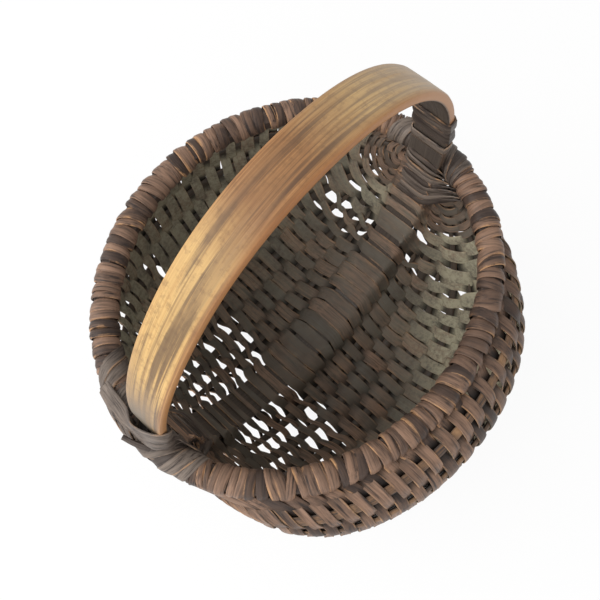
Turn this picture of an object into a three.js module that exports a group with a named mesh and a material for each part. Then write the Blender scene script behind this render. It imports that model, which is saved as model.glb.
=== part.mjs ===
// A buttocks basket, woven of split wood over two crossing hoops and a set of ribs.
// Millimetres, +Z up. X runs from ear to ear, Y from cheek to cheek.
// The origin is on the surface that the basket stands on, under the middle of the rim.

import * as THREE from 'three';

// Rim hoop: an oval of bent stock that lies level, a little broader on the far side of the handle.
// Its half length and half widths run to the stock's middle.
const rimHalfLength = 106.8;
const nearRimHalfWidth = 88.5;
const farRimHalfWidth = 95.5;
const rimStockRadius = 5.8;
const rimSegments = 64;

// Handle hoop: one flat band, the handle above the rim and the spine below it.
const handleHeight = 118;
const spineDepth = 121;
const hoopFullness = 2.12;
const hoopWidth = 21;
const hoopThickness = 4.6;
const handleLean = THREE.MathUtils.degToRad(4);
const hoopStep = THREE.MathUtils.degToRad(5);

// The band's ends lie on each other beside one ear, each thinned to a tip.
const lapStart = THREE.MathUtils.degToRad(-42.5);
const lapLength = THREE.MathUtils.degToRad(50);
const lapSpread = THREE.MathUtils.degToRad(20);
const lapTip = 1.2;

// Cheeks: the section across the middle of the basket, from the rim out, down and in to the spine.
// The near cheek, at low Y, has a broad shoulder. The far one drops from the rim more steeply.
const nearHalfWidth = 122;
const nearShoulderReach = 29;
const nearShoulderDrop = 4;
const farHalfWidth = 116;
const farShoulderReach = 12;
const farShoulderDrop = 13;
const cheekWidestDrop = 57;
const cheekDepth = 136;
const cheekLowestOffset = 52;
const shoulderRound = 32;
const cheekRoundDown = 42;
const cheekRoundIn = 40;
const cleftRound = 16;
const cleftRise = 9;

// How soon each cheek swells from its ears: less is fuller. The near one is fullest at low X.
const nearFullnessAtLowX = 0.55;
const nearFullnessAtHighX = 0.8;
const farFullness = 0.88;

// The cheeks are worn flat where the basket stands.
const standDepth = 130;
const standEase = 1.5;
const standEdge = 0.5;

// Ribs: split rods, lens-shaped in section, thinned towards both ends.
const ribsPerCheek = 10;
const ribWidth = 5;
const ribThickness = 2.6;
const ribTipScale = 0.45;
const ribTaperLength = 0.2;
const ribSegments = 24;
const ribSpacingSwell = 0.6;
const ribSpacingShift = 0.8;
const ribStart = 0.05;
const tuckedTip = 0.002;

// Where the ribs would meet at an ear, for the first and for the last rib of a cheek.
const earTop = new THREE.Vector2(2, -17);
const earBottom = new THREE.Vector2(10, -4);

// Weavers: long flat splints that run from rim to rim and back, over one rib and under the next.
const weaverCount = 13;
const passesPerWeaver = 4;
const splintThickness = 1;
const splintSideGap = 0.7;
const rimSideGap = 1.8;
const weaveGap = 0.8;
const weaveStart = 0.085;
const endPassWidth = 0.55;
const firstPassWidth = 0.85;
const lastPassWidth = 1.15;
const endPasses = 4;
const passesBeforeShortRibs = 5;
const wideRibs = [1, 8, 9];
const wideFloat = 2.2;
const spineEdgeClearance = 0.8;

// Ear lashings: splint bands round the rim beside the handle, and a strap over the handle's face.
const fitGap = 0.3;
const strapStart = 0.04;
const strapEnd = 0.055;
const bandStart = 0.058;
const bandEnd = 0.083;
const strapRise = 12.5;
const strapFaceWidth = 6;

const halfTurn = Math.PI;
const cornerAngle = halfTurn / 3;
const cornerReach = 1 / Math.cos(cornerAngle / 2);
const alongX = new THREE.Vector3(1, 0, 0);
const up = new THREE.Vector3(0, 0, 1);
const shareStep = 0.01;
const alongStep = 0.001;

const rimBulge = rimHalfLength * (1 - Math.sqrt(1 - (hoopWidth / 2 / nearRimHalfWidth) ** 2));
const rimInnerReach = rimStockRadius / cornerReach + rimBulge + fitGap;
const hoopHalfLength = rimHalfLength - rimInnerReach - hoopThickness / 2;
const hoopPower = 2 / hoopFullness;
const splintHeight = splintThickness / 2;
const passCount = weaverCount * passesPerWeaver;

// A closed body from a row of sections, each with the same number of points.
function sweep(sections, isRing) {
  const sides = sections[0].length;
  const positions = sections.flat().flatMap((point) => point.toArray());
  const triangles = [];
  const lastStep = isRing ? sections.length : sections.length - 1;
  for (let step = 0; step < lastStep; step += 1) {
    const here = step * sides;
    const next = ((step + 1) % sections.length) * sides;
    for (let side = 0; side < sides; side += 1) {
      const other = (side + 1) % sides;
      triangles.push(here + side, next + side, next + other);
      triangles.push(here + side, next + other, here + other);
    }
  }
  if (!isRing) {
    const last = (sections.length - 1) * sides;
    for (let side = 1; side < sides - 1; side += 1) {
      triangles.push(0, side, side + 1);
      triangles.push(last, last + side + 1, last + side);
    }
  }
  return facingOut(positions, triangles);
}

function signedVolume(positions, triangles) {
  const corner = (index) => new THREE.Vector3().fromArray(positions, 3 * index);
  let volume = 0;
  for (let first = 0; first < triangles.length; first += 3) {
    const [a, b, c] = [0, 1, 2].map((offset) => corner(triangles[first + offset]));
    volume += a.dot(b.cross(c));
  }
  return volume;
}

function facingOut(positions, triangles) {
  const outward = signedVolume(positions, triangles) > 0 ? triangles : triangles.reverse();
  const geometry = new THREE.BufferGeometry();
  geometry.setAttribute('position', new THREE.Float32BufferAttribute(positions, 3));
  geometry.setIndex(outward);
  geometry.computeVertexNormals();
  return geometry;
}

function smoothRise(value) {
  return THREE.MathUtils.smoothstep(value, 0, 1);
}

function rimHalfWidth(cheek) {
  return cheek < 0 ? nearRimHalfWidth : farRimHalfWidth;
}

// The rim's middle line. Along runs from 0 at one ear to 1 at the other.
function rimPoint(cheek, along) {
  const turn = halfTurn * along;
  const y = cheek * rimHalfWidth(cheek) * Math.sin(turn);
  return new THREE.Vector3(-rimHalfLength * Math.cos(turn), y, 0);
}

function rimOutward(cheek, along) {
  const turn = halfTurn * along;
  const across = cheek * rimHalfLength * Math.sin(turn);
  return new THREE.Vector3(-rimHalfWidth(cheek) * Math.cos(turn), across, 0).normalize();
}

// A point beside the rim's middle line, at an angle round the stock and a distance from it.
function aroundRim(cheek, along, angle, distance) {
  const point = rimPoint(cheek, along);
  point.addScaledVector(rimOutward(cheek, along), distance * Math.cos(angle));
  return point.addScaledVector(up, distance * Math.sin(angle));
}

// The handle hoop's middle line, before it leans.
function hoopPoint(angle) {
  const across = Math.cos(angle);
  const rise = Math.sin(angle);
  const x = Math.sign(across) * hoopHalfLength * Math.abs(across) ** hoopPower;
  const height = rise < 0 ? -spineDepth : handleHeight;
  return new THREE.Vector3(x, 0, height * Math.abs(rise) ** hoopPower);
}

function hoopOutward(angle) {
  const before = hoopPoint(angle - hoopStep / 2);
  const after = hoopPoint(angle + hoopStep / 2);
  const run = after.sub(before);
  return new THREE.Vector3(run.z, 0, -run.x).normalize();
}

// How far the band's inner and outer faces stand from its middle line. Travel starts at the lap.
function hoopFaces(travel) {
  const half = hoopThickness / 2;
  const step = lapTip + fitGap;
  const thinning = (hoopThickness - lapTip) * THREE.MathUtils.clamp(travel / lapLength, 0, 1);
  const returning = travel - 2 * halfTurn;
  if (returning > -lapSpread) {
    const drop = step * smoothRise(1 + returning / lapSpread);
    const lost = (hoopThickness - lapTip) * THREE.MathUtils.clamp(returning / lapLength, 0, 1);
    return { inner: -half - drop, outer: half - drop - lost };
  }
  if (travel < lapLength) {
    return { inner: half - lapTip - thinning, outer: half };
  }
  return { inner: -half, outer: half };
}

function lean(point) {
  return point.applyAxisAngle(alongX, -handleLean);
}

// A point on the leaning spine, across its width, and the way out of the basket there.
function spinePoint(along, across) {
  const point = hoopPoint(halfTurn * (1 + along));
  point.y = across;
  return lean(point);
}

function spineOutward(along) {
  return lean(hoopOutward(halfTurn * (1 + along)));
}

// How far the spine reaches in from its middle line, where the lap makes it thicker.
function spineInnerReach(along) {
  const travel = halfTurn * (1 + along) - lapStart;
  return -hoopFaces(travel).inner;
}

function makeCheekSection(cheek, halfWidth, shoulderReach, shoulderDrop) {
  const rim = new THREE.Vector2(rimHalfWidth(cheek), 0);
  const widest = new THREE.Vector2(halfWidth, -cheekWidestDrop);
  const lowest = new THREE.Vector2(cheekLowestOffset, -cheekDepth);
  const spineEdge = new THREE.Vector2(hoopWidth / 2 + cleftRound / 3, -spineDepth);
  const section = new THREE.CurvePath();
  section.add(new THREE.CubicBezierCurve(
    rim,
    new THREE.Vector2(rim.x + shoulderReach, -shoulderDrop),
    new THREE.Vector2(widest.x, widest.y + shoulderRound),
    widest,
  ));
  section.add(new THREE.CubicBezierCurve(
    widest,
    new THREE.Vector2(widest.x, widest.y - cheekRoundDown),
    new THREE.Vector2(lowest.x + cheekRoundIn, lowest.y),
    lowest,
  ));
  section.add(new THREE.CubicBezierCurve(
    lowest,
    new THREE.Vector2(lowest.x - cleftRound, lowest.y),
    new THREE.Vector2(spineEdge.x + cleftRound / 2, spineEdge.y - cleftRise),
    spineEdge,
  ));
  return section;
}

const nearSection = makeCheekSection(-1, nearHalfWidth, nearShoulderReach, nearShoulderDrop);
const farSection = makeCheekSection(1, farHalfWidth, farShoulderReach, farShoulderDrop);

function sectionOf(cheek) {
  return cheek < 0 ? nearSection : farSection;
}

function fullnessOf(cheek, along) {
  if (cheek > 0) {
    return farFullness;
  }
  return THREE.MathUtils.lerp(nearFullnessAtLowX, nearFullnessAtHighX, along);
}

// The ribs' places on the section, as shares of its length: wider apart on the cheek's side.
function ribShares() {
  const gaps = [];
  for (let gap = 0; gap <= ribsPerCheek; gap += 1) {
    const place = ((gap + 0.5) / (ribsPerCheek + 1)) ** ribSpacingShift;
    gaps.push(1 + ribSpacingSwell * Math.sin(halfTurn * place));
  }
  const whole = gaps.reduce((sum, gap) => sum + gap, 0);
  let sum = 0;
  return gaps.slice(0, ribsPerCheek).map((gap) => {
    sum += gap;
    return sum / whole;
  });
}

const shares = ribShares();

function standFlat(height) {
  const limit = standDepth + standEdge;
  const eased = limit - standEase * Math.log1p(Math.exp((limit + height) / standEase));
  return -Math.min(standDepth, eased);
}

// The cheek's middle surface: share runs from 0 at the rim to 1 at the spine's edge.
function cheekPoint(cheek, share, along) {
  const middle = sectionOf(cheek).getPointAt(share);
  const ear = earTop.clone().lerp(earBottom, share);
  const swell = Math.sin(halfTurn * along) ** fullnessOf(cheek, along);
  const halfLength = THREE.MathUtils.lerp(rimHalfLength, hoopHalfLength, share);
  const leanShift = -spineDepth * Math.sin(handleLean) * share ** 2;
  const reach = THREE.MathUtils.lerp(ear.x, middle.x, swell);
  const drop = THREE.MathUtils.lerp(ear.y, middle.y, swell);
  return new THREE.Vector3(
    -halfLength * Math.cos(halfTurn * along),
    cheek * reach + leanShift * swell,
    standFlat(drop),
  );
}

// A rib's middle line. Ribs are counted from 1 at the rim.
function ribPoint(cheek, rib, along) {
  return cheekPoint(cheek, shares[rib - 1], along);
}

// Pass edges as places along the basket: narrow beside the ears, and wider towards high X.
function makePassEdges() {
  const widths = [];
  for (let pass = 0; pass < passCount; pass += 1) {
    const fromEnd = Math.min(pass, passCount - 1 - pass) + 0.5;
    const width = THREE.MathUtils.lerp(firstPassWidth, lastPassWidth, pass / (passCount - 1));
    widths.push(width * THREE.MathUtils.lerp(endPassWidth, 1, Math.min(1, fromEnd / endPasses)));
  }
  const whole = widths.reduce((sum, width) => sum + width, 0);
  const edges = [weaveStart];
  widths.forEach((width) => edges.push(edges.at(-1) + (width * (1 - 2 * weaveStart)) / whole));
  return edges;
}

const passEdges = makePassEdges();

function isLongRib(rib) {
  return rib % 2 === 1;
}

function ribEnds(rib) {
  if (isLongRib(rib)) {
    return [ribStart, 1 - ribStart];
  }
  const start = passEdges[passesBeforeShortRibs] + tuckedTip;
  return [start, passEdges.at(-1 - passesBeforeShortRibs) - tuckedTip];
}

function ribScale(rib, along) {
  const [start, end] = ribEnds(rib);
  const fromTip = Math.min(along - start, end - along) / ribTaperLength;
  return THREE.MathUtils.lerp(ribTipScale, 1, smoothRise(fromTip));
}

// What one pass crosses, in order from one rim to the other.
function crossings(pass) {
  const shortRibs = pass >= passesBeforeShortRibs && pass < passCount - passesBeforeShortRibs;
  const ribs = [];
  for (let rib = 1; rib <= ribsPerCheek; rib += 1) {
    if (shortRibs || isLongRib(rib)) {
      ribs.push(rib);
    }
  }
  const near = ribs.map((rib) => ({ cheek: -1, rib }));
  const far = ribs.map((rib) => ({ cheek: 1, rib })).reverse();
  return [{ cheek: -1, rib: 0 }, ...near, { cheek: 0, rib: 0 }, ...far, { cheek: 1, rib: 0 }];
}

function crossingPoint({ cheek, rib }, along) {
  if (cheek === 0) {
    return spinePoint(along, 0);
  }
  return rib === 0 ? rimPoint(cheek, along) : ribPoint(cheek, rib, along);
}

// At a place on a cheek: the way along the ribs and the way out of the basket.
function frameOnCheek(cheek, share, along) {
  const across = cheekPoint(cheek, share + shareStep, along);
  across.sub(cheekPoint(cheek, share - shareStep, along)).multiplyScalar(-cheek).normalize();
  const run = cheekPoint(cheek, share, along + alongStep);
  run.sub(cheekPoint(cheek, share, along - alongStep)).normalize();
  const outward = across.cross(run).normalize();
  return { outward, run };
}

// Both edges of a pass at one crossing: splint sections are made from such pairs.
function passEdgePlaces(crossing, pass) {
  const places = [passEdges[pass], passEdges[pass + 1]];
  const run = crossingPoint(crossing, places[1]).distanceTo(crossingPoint(crossing, places[0]));
  const sideGap = crossing.rib === 0 ? rimSideGap : splintSideGap;
  const gap = (sideGap * (places[1] - places[0])) / run;
  return [places[0] + gap, places[1] - gap];
}

// A splint's section: its lower and higher edge, each on its face side and its back side.
function splintSection(low, high, lowFace, highFace, height) {
  return [
    low.clone().addScaledVector(lowFace, height),
    high.clone().addScaledVector(highFace, height),
    high.clone().addScaledVector(highFace, -height),
    low.clone().addScaledVector(lowFace, -height),
  ];
}

// Sections where a pass goes over or under one crossing. The splint's face turns over at each rim.
function sectionsAtCrossing(order, index, pass) {
  const crossing = order[index];
  const level = (index + pass) % 2 === 0 ? 1 : -1;
  const face = pass % 2 === 0 ? 1 : -1;
  const places = passEdgePlaces(crossing, pass);
  let shifts = [0];
  if (crossing.cheek === 0) {
    const edge = hoopWidth / 2 + spineEdgeClearance;
    shifts = [-edge, edge];
  } else if (wideRibs.includes(crossing.rib)) {
    shifts = [-wideFloat, wideFloat];
  }
  return shifts.map((shift) => {
    const ends = places.map((along) => {
      if (crossing.cheek === 0) {
        const outward = spineOutward(along);
        const reach = level > 0 ? hoopThickness / 2 : spineInnerReach(along);
        const offset = level * (reach + weaveGap + splintHeight);
        return { point: spinePoint(along, shift).addScaledVector(outward, offset), outward };
      }
      const sectionLength = sectionOf(crossing.cheek).getLength();
      const share = shares[crossing.rib - 1] - (crossing.cheek * shift) / sectionLength;
      const { outward } = frameOnCheek(crossing.cheek, share, along);
      const half = (ribThickness / 2) * ribScale(crossing.rib, along);
      const point = cheekPoint(crossing.cheek, share, along);
      point.addScaledVector(outward, level * (half + weaveGap + splintHeight));
      return { point, outward };
    });
    const faces = ends.map((end) => end.outward.clone().multiplyScalar(face));
    return splintSection(ends[0].point, ends[1].point, faces[0], faces[1], splintHeight);
  });
}

// One section of a splint that is wrapped round the rim.
function wrapSection(cheek, angle, low, high) {
  const inner = rimStockRadius + weaveGap * cornerReach;
  const outer = inner + splintThickness * cornerReach;
  return [
    aroundRim(cheek, low, angle, outer),
    aroundRim(cheek, high, angle, outer),
    aroundRim(cheek, high, angle, inner),
    aroundRim(cheek, low, angle, inner),
  ];
}

const wrapAngles = [-1, 1, 3, 5, 7, 9].map((step) => (step * cornerAngle) / 2);

// Passes that leave from outside the rim run down its outer side first.
function leavingSections(pass) {
  return pass % 2 === 0 ? 2 : 1;
}

// The turn from one pass to the next: once round the rim, spread over the width of both.
function turnSections(cheek, pass) {
  const rim = { cheek, rib: 0 };
  const first = passEdgePlaces(rim, pass);
  const second = passEdgePlaces(rim, pass + 1);
  const angles = pass % 2 === 0 ? wrapAngles : wrapAngles.slice().reverse();
  return angles.map((angle, step) => {
    const low = step >= angles.length - leavingSections(pass + 1) ? second[0] : first[0];
    const high = step < leavingSections(pass) ? first[1] : second[1];
    return wrapSection(cheek, angle, low, high);
  });
}

// The hook that ends a weaver at the rim.
function hookSections(cheek, pass) {
  const places = passEdgePlaces({ cheek, rib: 0 }, pass);
  const angles = pass % 2 === 0 ? wrapAngles : wrapAngles.slice().reverse();
  return angles.slice(0, -1).map((angle) => wrapSection(cheek, angle, places[0], places[1]));
}

function weaverGeometry(weaver) {
  const firstPass = weaver * passesPerWeaver;
  const sections = hookSections(-1, firstPass).reverse();
  for (let step = 0; step < passesPerWeaver; step += 1) {
    const pass = firstPass + step;
    const order = crossings(pass);
    const woven = [];
    for (let index = 1; index < order.length - 1; index += 1) {
      woven.push(...sectionsAtCrossing(order, index, pass));
    }
    const goesOut = step % 2 === 0;
    sections.push(...(goesOut ? woven : woven.reverse()));
    const cheek = goesOut ? 1 : -1;
    const isLast = step === passesPerWeaver - 1;
    sections.push(...(isLast ? hookSections(cheek, pass) : turnSections(cheek, pass)));
  }
  return sweep(sections, false);
}

function rimHoopGeometry() {
  const sections = [];
  for (let step = 0; step < rimSegments; step += 1) {
    const turn = (2 * step) / rimSegments;
    const cheek = turn < 1 ? -1 : 1;
    const along = turn < 1 ? turn : 2 - turn;
    sections.push(wrapAngles.map((angle) => aroundRim(cheek, along, angle, rimStockRadius)));
  }
  return sweep(sections, true);
}

function handleHoopGeometry() {
  const sections = [];
  const steps = Math.round((2 * halfTurn + lapLength) / hoopStep);
  for (let step = 0; step <= steps; step += 1) {
    const travel = step * hoopStep;
    const outward = hoopOutward(lapStart + travel);
    const { inner, outer } = hoopFaces(travel);
    const corners = [[outer, -1], [outer, 1], [inner, 1], [inner, -1]];
    sections.push(corners.map(([offset, side]) => {
      const corner = hoopPoint(lapStart + travel).addScaledVector(outward, offset);
      corner.y = (side * hoopWidth) / 2;
      return corner;
    }));
  }
  return sweep(sections, false);
}

function ribGeometry(cheek, rib) {
  const [start, end] = ribEnds(rib);
  const sections = [];
  for (let step = 0; step <= ribSegments; step += 1) {
    const along = THREE.MathUtils.lerp(start, end, step / ribSegments);
    const { outward, run } = frameOnCheek(cheek, shares[rib - 1], along);
    const wide = run.clone().cross(outward).normalize();
    const scale = ribScale(rib, along);
    const halfWidth = (scale * ribWidth) / 2;
    const halfThickness = (scale * ribThickness) / 2;
    const corners = [[halfWidth, 0], [0, halfThickness], [-halfWidth, 0], [0, -halfThickness]];
    sections.push(corners.map(([across, out]) => (
      ribPoint(cheek, rib, along).addScaledVector(wide, across).addScaledVector(outward, out)
    )));
  }
  return sweep(sections, false);
}

// End is -1 for the ear at low X and 1 for the ear at high X.
function fromEar(end, distance) {
  return end < 0 ? distance : 1 - distance;
}

function earBandGeometry(end, cheek) {
  const places = [fromEar(end, bandStart), fromEar(end, bandEnd)];
  const sections = wrapAngles.map((angle) => (
    wrapSection(cheek, angle, Math.min(...places), Math.max(...places))
  ));
  return sweep(sections, true);
}

// A strap from under the rim, over its top, across the handle's outer face and down again.
function earStrapGeometry(end) {
  const places = [fromEar(end, strapStart), fromEar(end, strapEnd)];
  const legAngles = [9, 11, 13, 15].map((step) => (step * cornerAngle) / 2);
  const leg = (cheek) => legAngles.map((angle) => (
    wrapSection(cheek, angle, places[0], places[1])
  ));
  const strapAngle = Math.asin((strapRise / handleHeight) ** (1 / hoopPower));
  const faceReach = hoopPoint(strapAngle).x + hoopThickness / 2 + weaveGap;
  const crossing = [-1, 1].map((cheek) => {
    const edge = new THREE.Vector3(end * (faceReach + splintHeight), (cheek * hoopWidth) / 2, strapRise);
    const half = strapFaceWidth / 2;
    const low = edge.clone().add(new THREE.Vector3(0, 0, -half));
    const high = edge.clone().add(new THREE.Vector3(0, 0, half));
    const face = new THREE.Vector3(end, 0, 0);
    const section = splintSection(high, low, face, face, splintHeight);
    return section.map((point) => lean(point));
  });
  const farLeg = leg(1).reverse().map(([a, b, c, d]) => [b, a, d, c]);
  return sweep([...leg(-1), ...crossing, ...farLeg], false);
}

function wood(color, roughness) {
  return new THREE.MeshStandardMaterial({ color, roughness, metalness: 0 });
}

function addPiece(parent, name, geometry, material) {
  const piece = new THREE.Mesh(geometry, material);
  piece.name = name;
  parent.add(piece);
  return piece;
}

// Sets the basket down on the origin.
function standOnOrigin(basket) {
  const box = new THREE.Box3().setFromObject(basket, true);
  const middle = box.getCenter(new THREE.Vector3());
  basket.position.set(-middle.x, -middle.y, -box.min.z);
}

function twoDigits(number) {
  return String(number).padStart(2, '0');
}

function buildBasket() {
  const basket = new THREE.Group();
  addPiece(basket, 'rim_hoop', rimHoopGeometry(), wood(0x5b4130, 0.75));
  const handle = addPiece(basket, 'handle_hoop', handleHoopGeometry(), wood(0xa8783f, 0.6));
  handle.rotation.x = -handleLean;
  [['near', -1], ['far', 1]].forEach(([cheekName, cheek]) => {
    for (let rib = 1; rib <= ribsPerCheek; rib += 1) {
      const name = `rib_${cheekName}_${twoDigits(rib)}`;
      addPiece(basket, name, ribGeometry(cheek, rib), wood(0x6e5238, 0.8));
    }
  });
  for (let weaver = 0; weaver < weaverCount; weaver += 1) {
    const name = `weaver_${twoDigits(weaver + 1)}`;
    addPiece(basket, name, weaverGeometry(weaver), wood(0x4b4136, 0.85));
  }
  [['a', -1], ['b', 1]].forEach(([earName, end]) => {
    addPiece(basket, `ear_${earName}_band_near`, earBandGeometry(end, -1), wood(0x57493c, 0.85));
    addPiece(basket, `ear_${earName}_band_far`, earBandGeometry(end, 1), wood(0x57493c, 0.85));
    addPiece(basket, `ear_${earName}_strap`, earStrapGeometry(end), wood(0x6a5c4a, 0.85));
  });
  standOnOrigin(basket);
  return basket;
}

export default buildBasket();
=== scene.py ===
import math

import bpy
import numpy as np
from mathutils import Matrix, Vector


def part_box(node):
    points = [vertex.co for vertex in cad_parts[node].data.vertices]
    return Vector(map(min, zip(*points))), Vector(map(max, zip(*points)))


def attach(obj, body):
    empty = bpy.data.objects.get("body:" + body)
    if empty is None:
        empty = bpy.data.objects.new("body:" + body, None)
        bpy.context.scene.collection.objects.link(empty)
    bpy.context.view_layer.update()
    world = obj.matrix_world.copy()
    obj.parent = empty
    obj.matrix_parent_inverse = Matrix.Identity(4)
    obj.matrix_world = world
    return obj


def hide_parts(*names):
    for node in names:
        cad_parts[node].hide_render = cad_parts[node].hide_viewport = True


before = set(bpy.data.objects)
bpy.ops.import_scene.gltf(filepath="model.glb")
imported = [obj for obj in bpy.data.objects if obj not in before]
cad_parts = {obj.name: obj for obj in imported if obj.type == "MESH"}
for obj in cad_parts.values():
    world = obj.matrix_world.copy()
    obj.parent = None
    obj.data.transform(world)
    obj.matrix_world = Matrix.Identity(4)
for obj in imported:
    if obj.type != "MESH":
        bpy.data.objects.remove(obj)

bl_info = {
    "name": "Buttocks basket",
    "version": (1, 0, 0),
    "blender": (4, 5, 0),
    "location": "3D View > Sidebar > Basket",
    "description": "Weaves a small buttocks basket of wood splints round its packed frame",
    "category": "Object",
}

MM = 0.001
TURN = 2 * math.pi
UP = np.array([0, 0, 1.0])
FAR_WARDS = np.array([0, 1.0, 0])
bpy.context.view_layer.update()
RIM_LOW, RIM_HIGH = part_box("rim_hoop")
# How far the rim's middle lies beyond the handle hoop, to the far side, in metres.
RIM_ASIDE = 0.0035
HOOPS_MIDDLE = np.array((RIM_LOW + RIM_HIGH) / 2) - (0, RIM_ASIDE, 0)


# Settings: the sizes and colours that a user would change.

def length_setting(name, default, description):
    """A length in metres."""
    return bpy.props.FloatProperty(name=name, description=description, default=default, unit="LENGTH")


def colour_setting(name, red, green, blue, description):
    """An opaque colour."""
    return bpy.props.FloatVectorProperty(
        name=name, description=description, subtype="COLOR", size=4, default=(red, green, blue, 1))


class BasketSizes(bpy.types.PropertyGroup):
    """Sizes of the basket's pieces."""

    rim_half_length: length_setting("Rim half length", 0.1068, "From the middle to the stock by an ear")
    near_rim_half_width: length_setting("Near rim half width", 0.0885, "From the hoop to the near stock")
    far_rim_half_width: length_setting("Far rim half width", 0.0955, "From the hoop to the far stock")
    rim_radius: length_setting("Rim stock radius", 0.0058, "Half the thickness of the rim's wood")
    hoop_half_length: length_setting("Handle hoop half length", 0.0985, "From the middle to the band")
    handle_height: length_setting("Handle height", 0.118, "From the rim to the band's middle at the top")
    spine_depth: length_setting("Spine depth", 0.121, "From the rim to the band's middle at the bottom")
    hoop_width: length_setting("Band width", 0.021, "Width of the bent band")
    hoop_thickness: length_setting("Band thickness", 0.0046, "Thickness of the bent band")
    rib_width: length_setting("Rib width", 0.0058, "Width of a rib at its middle")
    rib_thickness: length_setting("Rib thickness", 0.0027, "Thickness of a rib at its middle")
    splint_thickness: length_setting("Splint thickness", 0.0008, "Thickness of a weaver")
    splint_width: length_setting("Widest splint", 0.0115, "Width that no weaver passes")
    station: length_setting("Station spacing", 0.0019, "Spacing of the sections along a weaver")
    handle_lean: bpy.props.FloatProperty(
        name="Handle lean", description="How far the handle hoop leans to the far cheek",
        default=math.radians(4), unit="ROTATION")


class BasketColours(bpy.types.PropertyGroup):
    """Colours of the basket's wood and of the floor."""

    honey: colour_setting("Honey", 0.62, 0.40, 0.155, "Worn middle of the handle")
    honey_deep: colour_setting("Deep honey", 0.46, 0.265, 0.095, "Grain of the worn middle")
    hoop: colour_setting("Handle brown", 0.41, 0.21, 0.088, "Handle beside its worn middle")
    hoop_deep: colour_setting("Handle deep brown", 0.21, 0.10, 0.042, "Grain beside the worn middle")
    streak: colour_setting("Handle streak", 0.085, 0.050, 0.033, "Long dark grain of the handle")
    mottle: colour_setting("Handle mottle", 0.17, 0.09, 0.04, "Small dark spots of the handle")
    stain: colour_setting("Handle stain", 0.20, 0.11, 0.055, "Broad stains of the handle")
    faded: colour_setting("Handle faded", 0.42, 0.325, 0.235, "Dull wood towards the high-X ear")
    hoop_edge: colour_setting("Handle edge", 0.40, 0.165, 0.055, "Rubbed edges of the handle")
    grey: colour_setting("Handle grey", 0.16, 0.138, 0.108, "Weathered foot of the handle")
    inner: colour_setting("Inner face", 0.105, 0.082, 0.066, "Inner face of the handle")
    inner_deep: colour_setting("Inner face grain", 0.062, 0.050, 0.042, "Grain of the inner face")
    splint: colour_setting("Splint brown", 0.175, 0.106, 0.073, "Middle brown of the weavers")
    # splint_dark also serves as the colour of the painted shade on the outside of the near cheek towards the
    # high-X ear.
    splint_dark: colour_setting("Splint dark", 0.040, 0.029, 0.025, "Dark grain of the weavers")
    splint_pale: colour_setting("Splint pale", 0.305, 0.186, 0.125, "Lighter patches of the weavers")
    splint_worn: colour_setting("Worn edge", 0.50, 0.28, 0.14, "Orange wood where edges are worn")
    lashing: colour_setting("Lashing brown", 0.180, 0.143, 0.117, "Weathered splints round the ears")
    lashing_pale: colour_setting("Lashing pale", 0.215, 0.170, 0.138, "Lighter patches of the lashings")
    dust: colour_setting("Dust", 0.50, 0.46, 0.325, "Pale olive dust inside")
    grime: colour_setting("Grime", 0.172, 0.156, 0.127, "Dark grey grime inside")
    # Painted shade: the near-black that splints take where another splint or a rib lies over them stands in
    # for the shade between the parts.
    painted_crevice_shade: colour_setting("Crevice", 0.012, 0.010, 0.009, "Dirt where one splint covers another")
    rib: colour_setting("Rib brown", 0.20, 0.105, 0.05, "Ribs where they show")
    rib_pale: colour_setting("Rib pale", 0.36, 0.20, 0.095, "Lighter patches of the ribs")
    rib_grime: colour_setting("Rib grime", 0.06, 0.05, 0.04, "Inner side of the ribs")
    rim_stock: colour_setting("Rim stock", 0.09, 0.055, 0.038, "Rim between its wraps")
    floor: colour_setting("Floor", 0.9, 0.9, 0.9, "Pale floor")


# Shape of the basket, in millimetres from the middle of the rim. A share runs over a cheek's section
# from the rim, 0, to the spine, 1. Along runs from the low-X ear, 0, to the high-X ear, 1.

RIBS_PER_CHEEK = 10
RIB_GAP_SWELL = 0.6
RIB_GAP_SHIFT = 0.8
LONG_RIB_START = 0.034
SHORT_RIB_PASSES = 5
SHORT_RIB_GAP = 0.002
RIB_TAPER = 0.2

WEAVERS = 13
PASSES_PER_WEAVER = 4
PASSES = WEAVERS * PASSES_PER_WEAVER
WEAVE_START = 0.085
FIRST_PASS_WIDTH = 0.85
PASS_WIDTH_GAIN = 0.3
OUTERMOST_PASS_SHARE = 0.55
PASSES_TO_FULL_WIDTH = 4

# Each cheek: half width, reach and drop of its shoulder, fullness at the low and high X ends.
CHEEKS = {
    -1: (122.0, 29.0, 4.0, 0.55, 0.80),
    1: (116.0, 12.0, 13.0, 0.88, 0.88),
}
# What both sections share: drop of the widest place, depth, reach of the bottom, gap to the band,
# and how far the curves run straight on from the widest place, the bottom and the spine.
WIDEST_DROP = 57.0
CHEEK_DEPTH = 136.0
BOTTOM_REACH = 52.0
SPINE_GAP = 16 / 3
ABOVE_WIDEST, BELOW_WIDEST = 32.0, 42.0
BEYOND_BOTTOM, INSIDE_BOTTOM = 40.0, 16.0
SPINE_ASIDE, SPINE_BELOW = 8.0, 9.0

# Reach and height of a cheek's lines at the ears, by the rim and what they gain to the spine.
EAR_REACH, EAR_REACH_GAIN = 2.0, 8.0
EAR_HEIGHT, EAR_HEIGHT_GAIN = -17.0, 13.0

# The cheeks are worn flat where they stand.
STAND_DEPTH = 130.0
STAND_MARGIN = 0.5
STAND_EASING = 1.5

HOOP_POWER = 2 / 2.12
# The band's ends lap beside the high-X ear: where the lap starts below the rim, how long the ends
# taper, over what angle the inner end steps in, the thickness of a tip and the gap between the ends.
LAP_START = math.radians(42.5)
LAP_TAPER = math.radians(50)
LAP_STEP = math.radians(20)
LAP_TIP = 1.2
LAP_GAP = 0.3

# The old handle bellies out and aside above the low-X ear: reach of both, the height at which the
# belly starts, over how much it grows, and the height at which it ends.
BELLY_OUT = 3.5
BELLY_ASIDE = 3.0
BELLY_FOOT = -8.0
BELLY_RISE = 14.0
BELLY_TOP = 95.0


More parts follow.
